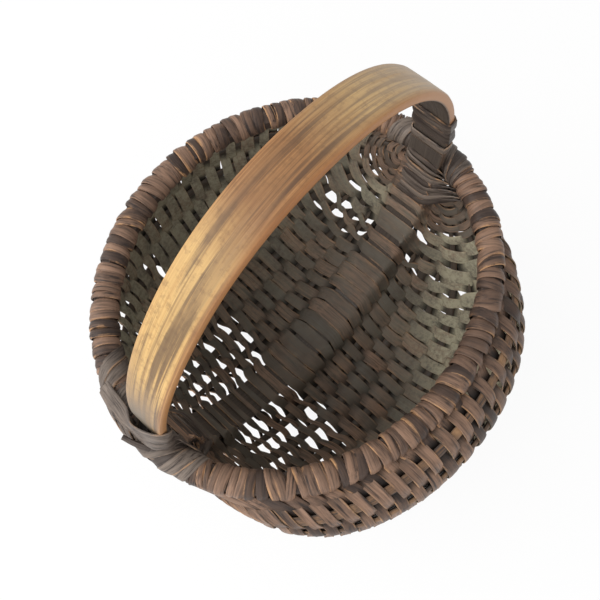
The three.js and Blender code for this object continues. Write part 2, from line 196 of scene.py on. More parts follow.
def sizes_mm():
    """The sizes as a plain name space, in millimetres."""
    group = bpy.context.scene.basket_sizes
    names = group.bl_rna.properties.keys()
    values = {n: getattr(group, n) / MM for n in names if n not in ("rna_type", "name", "handle_lean")}
    values["handle_lean"] = group.handle_lean
    return type("Sizes", (), values)


def unit(v):
    """Vectors of length one."""
    return v / np.maximum(np.linalg.norm(v, axis=-1, keepdims=True), 1e-9)


def rising(x, low, high):
    """0 at low, 1 at high and straight between them."""
    return np.clip((x - low) / (high - low), 0, 1)


def smooth(x):
    """An eased step from 0 to 1."""
    x = np.clip(x, 0, 1)
    return x * x * (3 - 2 * x)


def lengths_along(line):
    """Distance of each point from the line's start."""
    return np.r_[0, np.cumsum(np.linalg.norm(np.diff(line, axis=0), axis=1))]


def bezier(a, b, c, d, count=160):
    """Points on a cubic curve."""
    t = np.linspace(0, 1, count)[:, None]
    a, b, c, d = (np.array(p, float) for p in (a, b, c, d))
    return (1 - t) ** 3 * a + 3 * t * (1 - t) ** 2 * b + 3 * t * t * (1 - t) * c + t ** 3 * d


def cheek_section(s, side):
    """Section of a cheek at its middle: shares of its length, offsets, heights and the length."""
    half, reach, drop = CHEEKS[side][:3]
    rim = s.near_rim_half_width if side < 0 else s.far_rim_half_width
    widest = (half, -WIDEST_DROP)
    bottom = (BOTTOM_REACH, -CHEEK_DEPTH)
    edge = (s.hoop_width / 2 + SPINE_GAP, -s.spine_depth)
    line = np.vstack([
        bezier((rim, 0), (rim + reach, -drop), (half, ABOVE_WIDEST - WIDEST_DROP), widest),
        bezier(widest, (half, -WIDEST_DROP - BELOW_WIDEST),
               (BOTTOM_REACH + BEYOND_BOTTOM, bottom[1]), bottom),
        bezier(bottom, (BOTTOM_REACH - INSIDE_BOTTOM, bottom[1]),
               (edge[0] + SPINE_ASIDE, edge[1] - SPINE_BELOW), edge),
    ])
    steps = lengths_along(line)
    return steps / steps[-1], line[:, 0], line[:, 1], steps[-1]


def rib_shares():
    """Places of the ribs on a cheek's section."""
    count = RIBS_PER_CHEEK + 1
    gaps = [1 + RIB_GAP_SWELL * math.sin(math.pi * ((g + 0.5) / count) ** RIB_GAP_SHIFT)
            for g in range(count)]
    return (np.cumsum(gaps) / sum(gaps))[:RIBS_PER_CHEEK]


def pass_edges():
    """Edges of the weavers' passes as places from one ear to the other."""
    widths = []
    for k in range(PASSES):
        from_end = min(k, PASSES - 1 - k) + 0.5
        share = OUTERMOST_PASS_SHARE + (1 - OUTERMOST_PASS_SHARE) * min(1, from_end / PASSES_TO_FULL_WIDTH)
        widths.append((FIRST_PASS_WIDTH + PASS_WIDTH_GAIN * k / (PASSES - 1)) * share)
    edges = np.r_[0, np.cumsum(widths)] / sum(widths)
    return WEAVE_START + (1 - 2 * WEAVE_START) * edges


class BasketShape:
    """Surfaces of the rim, cheeks and spine."""

    def __init__(self):
        self.s = sizes_mm()
        self.sections = {side: cheek_section(self.s, side) for side in CHEEKS}
        self.ribs = rib_shares()
        self.edges = pass_edges()

    def cheek(self, side, share, along):
        """Points on a cheek."""
        s = self.s
        share, along = np.broadcast_arrays(np.asarray(share, float), np.asarray(along, float))
        shares, reaches, heights, _ = self.sections[side]
        low, high = CHEEKS[side][3:]
        swell = np.sin(np.pi * along) ** (low + (high - low) * along)
        half = s.rim_half_length + (s.hoop_half_length - s.rim_half_length) * share
        ear_reach = EAR_REACH + EAR_REACH_GAIN * share
        ear_height = EAR_HEIGHT + EAR_HEIGHT_GAIN * share
        reach = ear_reach + (np.interp(share, shares, reaches) - ear_reach) * swell
        drop = ear_height + (np.interp(share, shares, heights) - ear_height) * swell
        limit = STAND_DEPTH + STAND_MARGIN
        eased = limit - STAND_EASING * np.logaddexp(0, (limit + drop) / STAND_EASING)
        lean = -s.spine_depth * math.sin(s.handle_lean) * share ** 2 * swell
        return np.stack([-half * np.cos(np.pi * along), side * reach + lean,
                         -np.minimum(STAND_DEPTH, eased)], -1)

    def cheek_out(self, side, share, along):
        """The way out of the basket on a cheek."""
        step, stride = 0.01, 0.001
        across = self.cheek(side, np.minimum(share + step, 1), along) - self.cheek(side, share - step, along)
        run = self.cheek(side, share, along + stride) - self.cheek(side, share, along - stride)
        return unit(np.cross(-side * across, run))

    def lean(self, p):
        """Leans upright points or ways with the handle hoop."""
        c, n = math.cos(self.s.handle_lean), math.sin(self.s.handle_lean)
        return np.stack([p[..., 0], c * p[..., 1] + n * p[..., 2], c * p[..., 2] - n * p[..., 1]], -1)

    def hoop_line(self, angle):
        """The band's middle line, upright. Angle 0 is the high-X ear, half a turn the other."""
        s = self.s
        c, n = np.cos(angle), np.sin(angle)
        x = s.hoop_half_length * np.sign(c) * np.abs(c) ** HOOP_POWER
        z = np.where(n < 0, -s.spine_depth, s.handle_height) * np.abs(n) ** HOOP_POWER
        return np.stack([x, 0 * x, z], -1)

    def hoop(self, angle, across=0.0, out=0.0):
        """Points on the leaning band and the ways out there."""
        angle = np.asarray(angle, float)
        step = 0.04
        run = self.hoop_line(angle + step) - self.hoop_line(angle - step)
        outward = unit(np.stack([run[..., 2], 0 * run[..., 0], -run[..., 0]], -1))
        p = self.hoop_line(angle) + outward * np.asarray(out, float)[..., None]
        height = p[..., 2]
        belly = smooth((height - BELLY_FOOT) / BELLY_RISE) * smooth((BELLY_TOP - height) / BELLY_TOP)
        belly = belly * (p[..., 0] < 0)
        p[..., 0] -= BELLY_OUT * belly
        p[..., 1] = across + BELLY_ASIDE * belly
        return self.lean(p), self.lean(outward)

    def rim(self, side, along):
        """Points on the rim's middle line and the ways out there, level."""
        s = self.s
        along = np.asarray(along, float)
        c, n = np.cos(np.pi * along), side * np.sin(np.pi * along)
        half_width = np.where(np.asarray(side) < 0, s.near_rim_half_width, s.far_rim_half_width)
        p = np.stack([-s.rim_half_length * c, half_width * n, 0 * c], -1)
        return p, unit(np.stack([-half_width * c, s.rim_half_length * n, 0 * c], -1))

    def rib_ends(self, rib):
        """Where a rib starts and ends. Every other rib is short and starts inside the weave."""
        if rib % 2:
            return LONG_RIB_START, 1 - LONG_RIB_START
        return (self.edges[SHORT_RIB_PASSES] + SHORT_RIB_GAP,
                self.edges[-1 - SHORT_RIB_PASSES] - SHORT_RIB_GAP)

    def rib_scale(self, rib, along):
        """Thickness of ribs along them: half at the ends."""
        starts, ends = zip(*(self.rib_ends(r) for r in range(1, RIBS_PER_CHEEK + 1)))
        start, end = np.array(starts)[np.asarray(rib) - 1], np.array(ends)[np.asarray(rib) - 1]
        return 0.5 + 0.5 * smooth(np.minimum(along - start, end - along) / RIB_TAPER)


def place(points):
    """From millimetres round the rim's middle to the frame's metres."""
    return points * MM + HOOPS_MIDDLE


# Mesh building: every long piece is a row of sections. Edges that bend by more than this stay sharp.

SHARP_ANGLE = math.radians(38)


def smooth_noise(rng, count, every):
    """Slow random values between -1 and 1."""
    knots = rng.uniform(-1, 1, int(count / every) + 4)
    x = np.arange(count) / every
    i = x.astype(int)
    f = smooth(x - i)
    return knots[i] * (1 - f) + knots[i + 1] * f


def resample(points, step, *others):
    """Even stations along a line, with the values that go with them."""
    d = lengths_along(points)
    count = max(4, int(round(d[-1] / step)) + 1)
    at = np.linspace(0, d[-1], count)

    def pick(values):
        values = np.asarray(values, float)
        if values.ndim == 1:
            return np.interp(at, d, values)
        return np.stack([np.interp(at, d, values[:, j]) for j in range(values.shape[1])], -1)
    return [at, pick(points)] + [pick(o) for o in others]


def relax(values, times=2):
    """Rounds a line's corners and keeps its ends."""
    for _ in range(times):
        inner = (values[:-2] + 2 * values[1:-1] + values[2:]) / 4
        values = np.concatenate([values[:1], inner, values[-1:]])
    return values


def select_alone(piece):
    """Makes a piece the only selected object and the active one."""
    bpy.ops.object.select_all(action="DESELECT")
    piece.select_set(True)
    bpy.context.view_layer.objects.active = piece


def sweep(name, line, wide, out, half_width, half_thickness, section, length_at,
          finish, crown=0.0, closed=False):
    """A closed mesh from sections along a line, with a UV map along it and a finish attribute."""
    n, m = len(line), len(section)
    half_width, half_thickness, crown = (
        np.broadcast_to(value, (n,))[:, None] for value in (half_width, half_thickness, crown))
    v = section[:, 0][None, :] * half_width
    w = 2 * section[:, 1][None, :] * half_thickness + crown * (1 - section[:, 0][None, :] ** 2)
    rings = line[:, None] + v[..., None] * wide[:, None] + w[..., None] * out[:, None]
    i = np.arange(n if closed else n - 1)[:, None]
    j = np.arange(m)[None, :]
    k, o = (i + 1) % n, (j + 1) % m
    quads = np.stack(np.broadcast_arrays(i * m + j, k * m + j, k * m + o, i * m + o), -1)
    faces = quads.reshape(-1, 4).tolist()
    if not closed:
        faces.append(list(range(m)))
        faces.append(list(range(n * m - 1, n * m - m - 1, -1)))
    mesh = bpy.data.meshes.new(name)
    mesh.from_pydata(place(rings.reshape(-1, 3)).tolist(), [], faces)
    uv = mesh.uv_layers.new(name="grain")
    grain = np.stack([np.repeat(length_at, m), v.reshape(-1)], -1) * MM
    vertex = np.empty(len(mesh.loops), np.int32)
    mesh.loops.foreach_get("vertex_index", vertex)
    uv.data.foreach_set("uv", grain[vertex].ravel())
    attribute = mesh.attributes.new("finish", "FLOAT_COLOR", "POINT")
    attribute.data.foreach_set("color", np.clip(finish, 0, 1).reshape(-1).astype(np.float32))
    mesh.update()
    made = bpy.data.objects.new(name, mesh)
    bpy.context.scene.collection.objects.link(made)
    select_alone(made)
    bpy.ops.object.mode_set(mode="EDIT")
    bpy.ops.mesh.select_all(action="SELECT")
    bpy.ops.mesh.normals_make_consistent(inside=False)
    bpy.ops.object.mode_set(mode="OBJECT")
    bpy.ops.object.shade_smooth_by_angle(angle=SHARP_ANGLE)
    return made


def finish_values(n, section, tone, wear, dust):
    """Tone, edge wear and dust for each vertex of a swept piece. The fourth value starts at 1; on the
    splints it becomes their openness to light, which sets their painted shade.
    """
    edge = np.clip((np.abs(section[:, 0]) - 0.5) * 2, 0, 1)
    values = np.ones((n, len(section), 4))
    values[..., 0] = np.asarray(tone).reshape(-1, 1)
    values[..., 1] = edge * np.asarray(wear).reshape(-1, 1)
    values[..., 2] = dust
    return values


# Sections: half widths from -1 to 1, and heights from -0.5 to 0.5.

SPLINT_SECTION = np.array([
    (-1, 0), (-0.93, 0.45), (-0.45, 0.5), (0.45, 0.5), (0.93, 0.45),
    (1, 0), (0.93, -0.45), (0.45, -0.5), (-0.45, -0.5), (-0.93, -0.45)])
RIB_SECTION = np.array([(math.cos(a), 0.5 * math.sin(a)) for a in np.linspace(0, TURN, 13)[:-1]])
HOOP_SECTION = np.array([
    (-1, -0.25), (-1, 0.25), (-0.965, 0.42), (-0.88, 0.5), (-0.7, 0.5), (0, 0.5), (0.7, 0.5), (0.88, 0.5),
    (0.965, 0.42), (1, 0.25), (1, -0.25), (0.965, -0.42), (0.88, -0.5), (0.4, -0.5), (0, -0.5),
    (-0.4, -0.5), (-0.88, -0.5), (-0.965, -0.42)])


# Weaving.

# Angles round the rim's stock: where a turn leaves for the outside and for the inside of a cheek,
# where the first turn of a weaver starts and its last one ends, how far a turn goes between two
# passes, how far it goes before it moves on, and the spacing of its stations.
WRAP_OUT = math.radians(-30)
WRAP_UNDER = math.radians(270)
WRAP_START = math.radians(255)
WRAP_END = math.radians(-12)
WRAP_BETWEEN = math.radians(660)
WRAP_HOLD_OUT = math.radians(120)
WRAP_HOLD_UNDER = math.radians(180)
WRAP_STEP = math.radians(13)

# Turns round the rim: height over the stock and the least of it, slant, tilt, crown, and width
# against the pitch, between two passes and at a weaver's ends.
WRAP_LIFT = (0.35, 0.7)
LEAST_WRAP_LIFT = 0.4
WRAP_SLANT = 0.006
WRAP_TILT = (0.06, 0.30)
WRAP_CROWN = (0.4, 0.9)
WRAP_WIDTH = (0.85, 1.45)
END_WRAP_WIDTH = (1.1, 1.4)

# Stations of a pass: their number on the spine, their spacing on a cheek, how far before its first
# rib they start, and how far past a cheek's section the splint would reach its level on the spine.
SPINE_STATIONS = 12
CHEEK_STATION = 1.3
BEFORE_FIRST_RIB = 3.5
PAST_SECTION = 6.0
# Clearance at the band's edges, and between a splint and what it lies on.
BAND_CLEARANCE = 0.6
SPLINT_CLEARANCE = 0.12

# How passes differ: width, place beside the middle of the pitch, how much they slip where the weave
# is loose and how unevenly, how much they sway, and how far slack ones shift between two ribs.
FILL = (0.80, 1.06)
DRIFT = 0.14
SLACK = (0.35, 1.5)
SLACK_UNEVEN = 0.7
SWAY = 0.12
ZIGZAG = 0.65
# Tilt, wear and crown of a woven stretch.
WOVEN_TILT = 0.16
WOVEN_WEAR = 0.6
WOVEN_CROWN = 0.3

# A splint's share of its pitch: by the rim, gained towards the spine, gained on it, and where loose.
COVER_AT_RIM = 1.28
COVER_GAIN = 0.47
COVER_ON_SPINE = 0.2
COVER_LOOSE = 0.56

ALL_RIBS = tuple(range(1, RIBS_PER_CHEEK + 1))
ODD_RIBS = ALL_RIBS[::2]
EAR_RIBS = (3, 7)
EAR_PASSES = 10
EAR_PASSES_ON_FEW_RIBS = 5
EAR_RIM_START = 0.030
EAR_SPINE_START = 0.006

# Where the old weave has opened: cheek, share, place along, reach of both, amount.
LOOSE = (
    (1, 0.92, 0.20, 0.13, 0.12, 1.0),
    (1, 0.90, 0.36, 0.13, 0.10, 0.85),
    (-1, 0.94, 0.23, 0.13, 0.12, 1.0),
    (-1, 0.87, 0.35, 0.13, 0.08, 0.9),
    (1, 0.95, 0.81, 0.12, 0.05, 0.9),
    (1, 0.74, 0.83, 0.10, 0.05, 0.85),
    (-1, 0.95, 0.85, 0.11, 0.045, 0.95),
    (-1, 0.66, 0.82, 0.12, 0.05, 0.35),
    (1, 0.49, 0.38, 0.06, 0.03, 1.0),
    (1, 0.46, 0.23, 0.09, 0.05, 0.7),
    (-1, 0.60, 0.93, 0.30, 0.03, 0.35),
    (1, 0.60, 0.93, 0.30, 0.03, 0.35),
)

# Where dust lies thick inside, and where the inner faces are darkened most towards the painted_crevice_shade
# colour, in the same way.
DUSTY = (
    (-1, 0.50, 0.77, 0.24, 0.12, 1.3),
    (-1, 0.72, 0.92, 0.20, 0.06, 0.4),
    (1, 0.55, 0.25, 0.20, 0.10, 0.25),
    (1, 0.90, 0.88, 0.20, 0.07, 0.4),
    (1, 0.50, 0.60, 0.30, 0.22, 0.3),
)
DARKENED_INSIDE = (
    (-1, 0.72, 0.47, 0.22, 0.13, 0.45),
    (-1, 0.98, 0.52, 0.20, 0.16, 0.5),
    (1, 0.95, 0.50, 0.25, 0.16, 0.5),
)
# Dust everywhere inside, what the near and far walls add to it, and the share left beside the ears.
DUST_ALL_OVER = 0.45
DUST_ON_WALL = {-1: 0.5, 0: 0.0, 1: 0.3}
DUST_BY_EARS = 0.4

# First seeds. Each long splint, lashing, rib and band draws its unevenness from one of its own.
WEAVER_SEED = 500
EAR_PASS_SEED = 620
LASHING_SEED = 700
RIB_SEED = 900
HOOP_SEED = 77


def zone_amount(zones, side, share, along):
    """How strongly a list of zones works at a place."""
    total = 0 * share
    for cheek, s0, a0, ds, da, amount in zones:
        if cheek == side:
            total = total + amount * np.exp(-((share - s0) / ds) ** 2 - ((along - a0) / da) ** 2)
    return total


class Pass:
    """One run of a splint from rim to rim, with its edges on the rim and on the spine."""

    def __init__(self, number, rim, spine, ribs):
        self.number = number
        self.rim = rim
        self.spine = spine
        self.ribs = ribs
        self.outward = number % 2 == 0
        self.middle = (rim[0] + rim[1]) / 2

    def edges(self, share):
        """Both edges as places along, at shares of the section."""
        return [rim + (spine - rim) * share for rim, spine in zip(self.rim, self.spine)]

    def rim_pitch(self, shape):
        """Distance between both edges on the rim."""
        (p0, _), (p1, _) = (shape.rim(-1, edge) for edge in self.rim)
        return float(np.linalg.norm(p1 - p0))


def body_passes(shape):
    """The passes that the weavers of the frame make."""
    runs = []
    for k in range(PASSES):
        span = (shape.edges[k], shape.edges[k + 1])
        full = SHORT_RIB_PASSES <= k < PASSES - SHORT_RIB_PASSES
        runs.append(Pass(k, span, span, ALL_RIBS if full else ODD_RIBS))
    return runs


def ear_passes(high_end):
    """Narrow passes that close the fan of ribs beside an ear."""
    runs = []
    rim = np.linspace(EAR_RIM_START, WEAVE_START, EAR_PASSES + 1)
    spine = np.linspace(EAR_SPINE_START, WEAVE_START, EAR_PASSES + 1)
    for i in range(EAR_PASSES):
        ribs = EAR_RIBS if i < EAR_PASSES_ON_FEW_RIBS else ODD_RIBS
        number, on_rim, on_spine = i - EAR_PASSES, rim[i:i + 2], spine[i:i + 2]
        if high_end:
            number, on_rim, on_spine = PASSES + EAR_PASSES - 1 - i, 1 - on_rim[::-1], 1 - on_spine[::-1]
        runs.append(Pass(number, on_rim, on_spine, ribs))
    return sorted(runs, key=lambda run: run.number)


def lap_depth(along):
    """How far the lapped end of the hoop stands out inside the spine."""
    return (LAP_TIP + LAP_GAP) * smooth((LAP_START + LAP_STEP - math.pi * (1 - along)) / LAP_STEP)


def over_spine(shape, run, level, drift, slack):
    """A pass over the spine: line, ways out, edges, shares, places along, levels and looseness."""
    s = shape.s
    half_band = s.hoop_width / 2 + BAND_CLEARANCE
    across = np.linspace(-half_band, half_band, SPINE_STATIONS)
    ones = np.ones(SPINE_STATIONS)
    low, high = run.spine
    middle = (low + high) / 2 + drift * (high - low)
    reach = s.hoop_thickness / 2 + s.splint_thickness / 2 + SPLINT_CLEARANCE
    if level < 0:
        reach += lap_depth(middle)
    p, out = shape.hoop(math.pi * (1 + middle * ones), across, level * reach * ones)
    a, b = (shape.hoop(math.pi * (1 + edge * ones), across)[0] for edge in (low, high))
    loose = np.clip(zone_amount(LOOSE, -1, ones, middle * ones) * slack, 0, 1)
    return p, out, a, b, ones, middle * ones, level * ones, loose


def over_cheek(shape, run, side, levels, drift, slack, rng):
    """A pass over the ribs of a cheek, with the same values as on the spine."""
    s = shape.s
    crossings = shape.ribs[np.array(run.ribs) - 1]
    length = shape.sections[side][3]
    share = np.arange(crossings[0] - BEFORE_FIRST_RIB / length, 1.0, CHEEK_STATION / length)[::-side]
    low, high = run.edges(share)
    knots = np.append(crossings, 1 + PAST_SECTION / length)
    cell = np.clip(np.searchsorted(knots, share) - 1, 0, len(knots) - 2)
    t = np.clip((share - knots[cell]) / (knots[cell + 1] - knots[cell]), 0, 1)
    uneven = slack * (1 + SLACK_UNEVEN * smooth_noise(rng, len(share), 9))
    loose = np.clip(zone_amount(LOOSE, side, share, (low + high) / 2) * uneven, 0, 1)
    zigzag = np.where((cell + run.number) % 2, 1, -1) * np.sin(math.pi * t) * ZIGZAG * loose
    sway = drift + SWAY * smooth_noise(rng, len(share), 22) + zigzag
    along = (low + high) / 2 + sway * (high - low)
    level = levels[cell] + (levels[cell + 1] - levels[cell]) * smooth(t)
    closest = np.array(run.ribs)[np.argmin(np.abs(share[:, None] - crossings[None]), 1)]
    half_rib = s.rib_thickness / 2 * shape.rib_scale(closest, along)
    out = shape.cheek_out(side, share, along)
    reach = half_rib + s.splint_thickness / 2 + SPLINT_CLEARANCE
    p = shape.cheek(side, share, along) + out * (level * reach)[:, None]
    return p, out, shape.cheek(side, share, low), shape.cheek(side, share, high), share, along, level, loose


def pass_line(shape, run, rng):
    """A pass from its first rib on the near cheek to that on the far one, with its width and finish."""
    levels = np.array([1 if (i + run.number) % 2 else -1 for i in range(2 * len(run.ribs) + 1)])
    fill = rng.uniform(*FILL)
    drift = rng.uniform(-DRIFT, DRIFT)
    slack = rng.uniform(*SLACK)
    spine = len(run.ribs)
    stretches = []
    for side in (-1, 0, 1):
        if side == 0:
            stretch = over_spine(shape, run, levels[spine], drift, slack)
        else:
            ahead = levels[:spine + 1] if side < 0 else levels[spine:][::-1]
            stretch = over_cheek(shape, run, side, ahead, drift, slack, rng)
        p, out, a, b, share, along, level, loose = stretch
        cover = COVER_AT_RIM + COVER_GAIN * rising(share, 0.2, 0.5) + (0 if side else COVER_ON_SPINE)
        cover = fill * (cover + (COVER_LOOSE - cover) * loose)
        width = np.minimum(np.linalg.norm(b - a, axis=-1) * cover, shape.s.splint_width)
        dust = DUST_ALL_OVER + DUST_ON_WALL[side] * rising(share, 0.75, 0.30)
        dust = dust + zone_amount(DUSTY, side or -1, share, along)
        if not 0 <= run.number < PASSES:
            dust = DUST_BY_EARS * dust
        soot = zone_amount(DARKENED_INSIDE, side or -1, share, along)
        stretches.append((p, out, unit(b - a), width, level, dust, soot))
    return [np.concatenate(values) for values in zip(*stretches)]


def round_rim(shape, side, along, angles, lift):
    """Points round the rim's stock and the ways out there."""
    p, outward = shape.rim(side, along)
    radial = outward * np.cos(angles)[:, None] + UP * np.sin(angles)[:, None]
    return p + radial * (shape.s.rim_radius + lift)[:, None], radial


class Strand:
    """Stations of a long strip, gathered stretch by stretch. What isn't given is 0."""

    KEYS = ("points", "out", "wide", "width", "tilt", "wear", "woven", "exposed", "inward", "tone", "crown",
            "dust", "soot")

    def __init__(self):
        self.parts = {key: [] for key in self.KEYS}

    def add(self, points, out, wide, **values):
        """Adds a stretch."""
        for key, value in zip(self.KEYS, (points, out, wide)):
            self.parts[key].append(value)
        for key in self.KEYS[3:]:
            self.parts[key].append(np.broadcast_to(np.asarray(values.get(key, 0.0), float), (len(points),)))

    def joined(self):
        """All stretches in one."""
        return {key: np.concatenate(value) for key, value in self.parts.items()}


def add_wrap(strand, shape, side, angles, along, width, rng, tone):
    """A stretch of wrapping round the rim, lying shingled over the one before it."""
    count = len(angles)
    lift = rng.uniform(*WRAP_LIFT) + 0.3 * smooth_noise(rng, count, 12)
    slant = rng.uniform(-WRAP_SLANT, WRAP_SLANT) * np.cos(angles - rng.uniform(-1, 1))
    along = along + slant
    p, out = round_rim(shape, side, along, angles, np.maximum(LEAST_WRAP_LIFT, lift))
    (ahead, _), (behind, _) = (shape.rim(side, along + step) for step in (0.002, -0.002))
    wear = np.clip(0.5 + rng.uniform(-0.5, 0.5) + 0.5 * smooth_noise(rng, count, 9), 0, 1)
    strand.add(p, out, unit(ahead - behind), width=width, tilt=rng.uniform(*WRAP_TILT), wear=wear,
               exposed=1.0, tone=tone, crown=rng.uniform(*WRAP_CROWN))


def strand_of(shape, runs, rng):
    """The whole run of one weaver, from rim to rim and back, with its turns round the rim."""
    strand = Strand()

    def end_wrap(side, run, start, end):
        angles = np.arange(start, end, -WRAP_STEP)
        add_wrap(strand, shape, side, angles, np.full(len(angles), run.middle),
                 run.rim_pitch(shape) * rng.uniform(*END_WRAP_WIDTH), rng, tone)

    for i, run in enumerate(runs):
        tone = rng.uniform(0, 1)
        if i == 0:
            end_wrap(-1, run, WRAP_START, WRAP_OUT)
        line, out, wide, width, level, dust, soot = (
            values[::-1 if i % 2 else 1] for values in pass_line(shape, run, rng))
        face = 1 if run.outward else -1
        # exposed is the openness of the strip's front to light, for its painted shade: low where the front
        # lies against a rib.
        strand.add(line, out * face, wide, width=width, tilt=WOVEN_TILT * face * (1 - level ** 2),
                   wear=WOVEN_WEAR, woven=1.0, exposed=0.5 + 0.5 * face * level,
                   inward=0.0 if run.outward else 1.0, tone=tone, crown=WOVEN_CROWN, dust=dust, soot=soot)
        side = 1 if i % 2 == 0 else -1
        if i == len(runs) - 1:
            end_wrap(side, run, WRAP_UNDER, WRAP_END)
            break
        following = runs[i + 1]
        turn = np.linspace(0, WRAP_BETWEEN, int(WRAP_BETWEEN / WRAP_STEP))
        hold = WRAP_HOLD_OUT if run.outward else WRAP_HOLD_UNDER
        progress = np.clip((turn - hold) / TURN, 0, 1)
        angles = WRAP_OUT + turn if run.outward else WRAP_UNDER + TURN - turn
        along = run.middle + (following.middle - run.middle) * progress
        first, second = (r.rim_pitch(shape) * rng.uniform(*WRAP_WIDTH) for r in (run, following))
        width = first + (second - first) * progress
        tones = tone + (rng.uniform(0, 1) - tone) * progress
        add_wrap(strand, shape, side, angles, along, width, rng, tones)
    return strand


# How uneven a strip is: amount and spacing in stations of its width, its place in millimetres, its
# tone in long and in short waves, and its thickness.
UNEVEN_WIDTH = (0.07, 8)
UNEVEN_PLACE = (0.2, 7)
UNEVEN_TONE = ((0.32, 40), (0.10, 12))
UNEVEN_THICKNESS = (0.15, 30)


def splint_piece(name, shape, strand, rng, closed=False):
    """A strip of splint along a strand."""
    s = shape.s
    values = strand.joined()
    if closed:
        values = {key: np.concatenate([value, value[:1]]) for key, value in values.items()}
    at, *stations = resample(values["points"], s.station, *(values[key] for key in Strand.KEYS[1:]))
    v = dict(zip(Strand.KEYS, stations))
    if closed:
        at, v = at[:-1], {key: value[:-1] for key, value in v.items()}
        run = unit(np.roll(v["points"], -1, axis=0) - np.roll(v["points"], 1, axis=0))
    else:
        for key, times in (("points", 2), ("out", 3), ("wide", 3), ("tilt", 4), ("width", 3)):
            v[key] = relax(v[key], times)
        run = unit(np.gradient(v["points"], axis=0))
    wide = unit(v["wide"] - run * (v["wide"] * run).sum(-1, keepdims=True))
    facing = np.cross(run, wide)
    facing = unit(facing * np.sign((facing * v["out"]).sum(-1, keepdims=True)))
    wide_tilted = unit(wide - facing * v["tilt"][:, None])
    facing_tilted = unit(facing + wide * v["tilt"][:, None])
    n = len(at)
    calm = np.sin(np.pi * np.arange(n) / n) if closed else np.ones(n)

    def uneven(amount, every):
        return amount * calm * smooth_noise(rng, n, every)
    width = v["width"] * (1 + uneven(*UNEVEN_WIDTH)) / 2
    points = v["points"] + wide * uneven(*UNEVEN_PLACE)[:, None]
    tone = v["tone"] + sum(uneven(*wave) for wave in UNEVEN_TONE)
    finish = finish_values(n, SPLINT_SECTION, np.clip(tone, 0, 1), v["wear"], 0)
    front = np.clip(0.5 + SPLINT_SECTION[:, 1], 0, 1)[None, :]
    exposed, inward, woven, dust, soot = (
        v[key][:, None] for key in ("exposed", "inward", "woven", "dust", "soot"))
    inside = inward * front + (1 - inward) * (1 - front)
    finish[..., 2] = woven * inside * dust + (1 - woven) * 0.1
    # Painted shade: the fourth value is how open each face is to light. It is low where a woven face lies
    # against a rib or under another splint and on the hidden back of a wrap or lashing strip, and inner
    # faces go lower where the inside is darkened most.
    behind = woven * (1 - exposed) + (1 - woven) * 0.2
    finish[..., 3] = (exposed * front + behind * (1 - front)) * (1 - 0.75 * soot * inside)
    thick = s.splint_thickness / 2 * (1 + uneven(*UNEVEN_THICKNESS))
    return sweep(name, points, wide_tilted, facing_tilted, width, thick, SPLINT_SECTION, at, finish,
                 crown=v["crown"], closed=closed)


# Stations of a rib, the share of its run over which a tip thins, how uneven it is, and its tone.
RIB_STATIONS = 150
RIB_TIP = 0.008
RIB_UNEVEN = 0.05
RIB_TONE = (0.2, 0.9)


def make_rib(shape, side, rib):
    """One rib, from ear to ear or with both ends inside the weave."""
    s = shape.s
    rng = np.random.default_rng(RIB_SEED + 20 * (side + 1) + rib)
    start, end = shape.rib_ends(rib)
    along = np.linspace(start, end, RIB_STATIONS)
    share = np.full(RIB_STATIONS, shape.ribs[rib - 1])
    line = shape.cheek(side, share, along)
    out = shape.cheek_out(side, share, along)
    wide = unit(np.cross(np.gradient(line, axis=0), out))
    tip = np.clip(np.minimum(along - start, end - along) / RIB_TIP, 0.25, 1)
    scale = shape.rib_scale(rib, along) * (1 + RIB_UNEVEN * smooth_noise(rng, RIB_STATIONS, 12)) * tip
    values = finish_values(RIB_STATIONS, RIB_SECTION, rng.uniform(*RIB_TONE), 0.5, 0)
    values[..., 2] = np.clip(0.5 - 2 * RIB_SECTION[:, 1], 0, 1)[None]
    name = f"{'near' if side < 0 else 'far'}_rib_{rib:02d}"
    return sweep(name, line, wide, out, s.rib_width / 2 * scale, s.rib_thickness / 2 * scale,
                 RIB_SECTION, lengths_along(line), values)


# Materials.

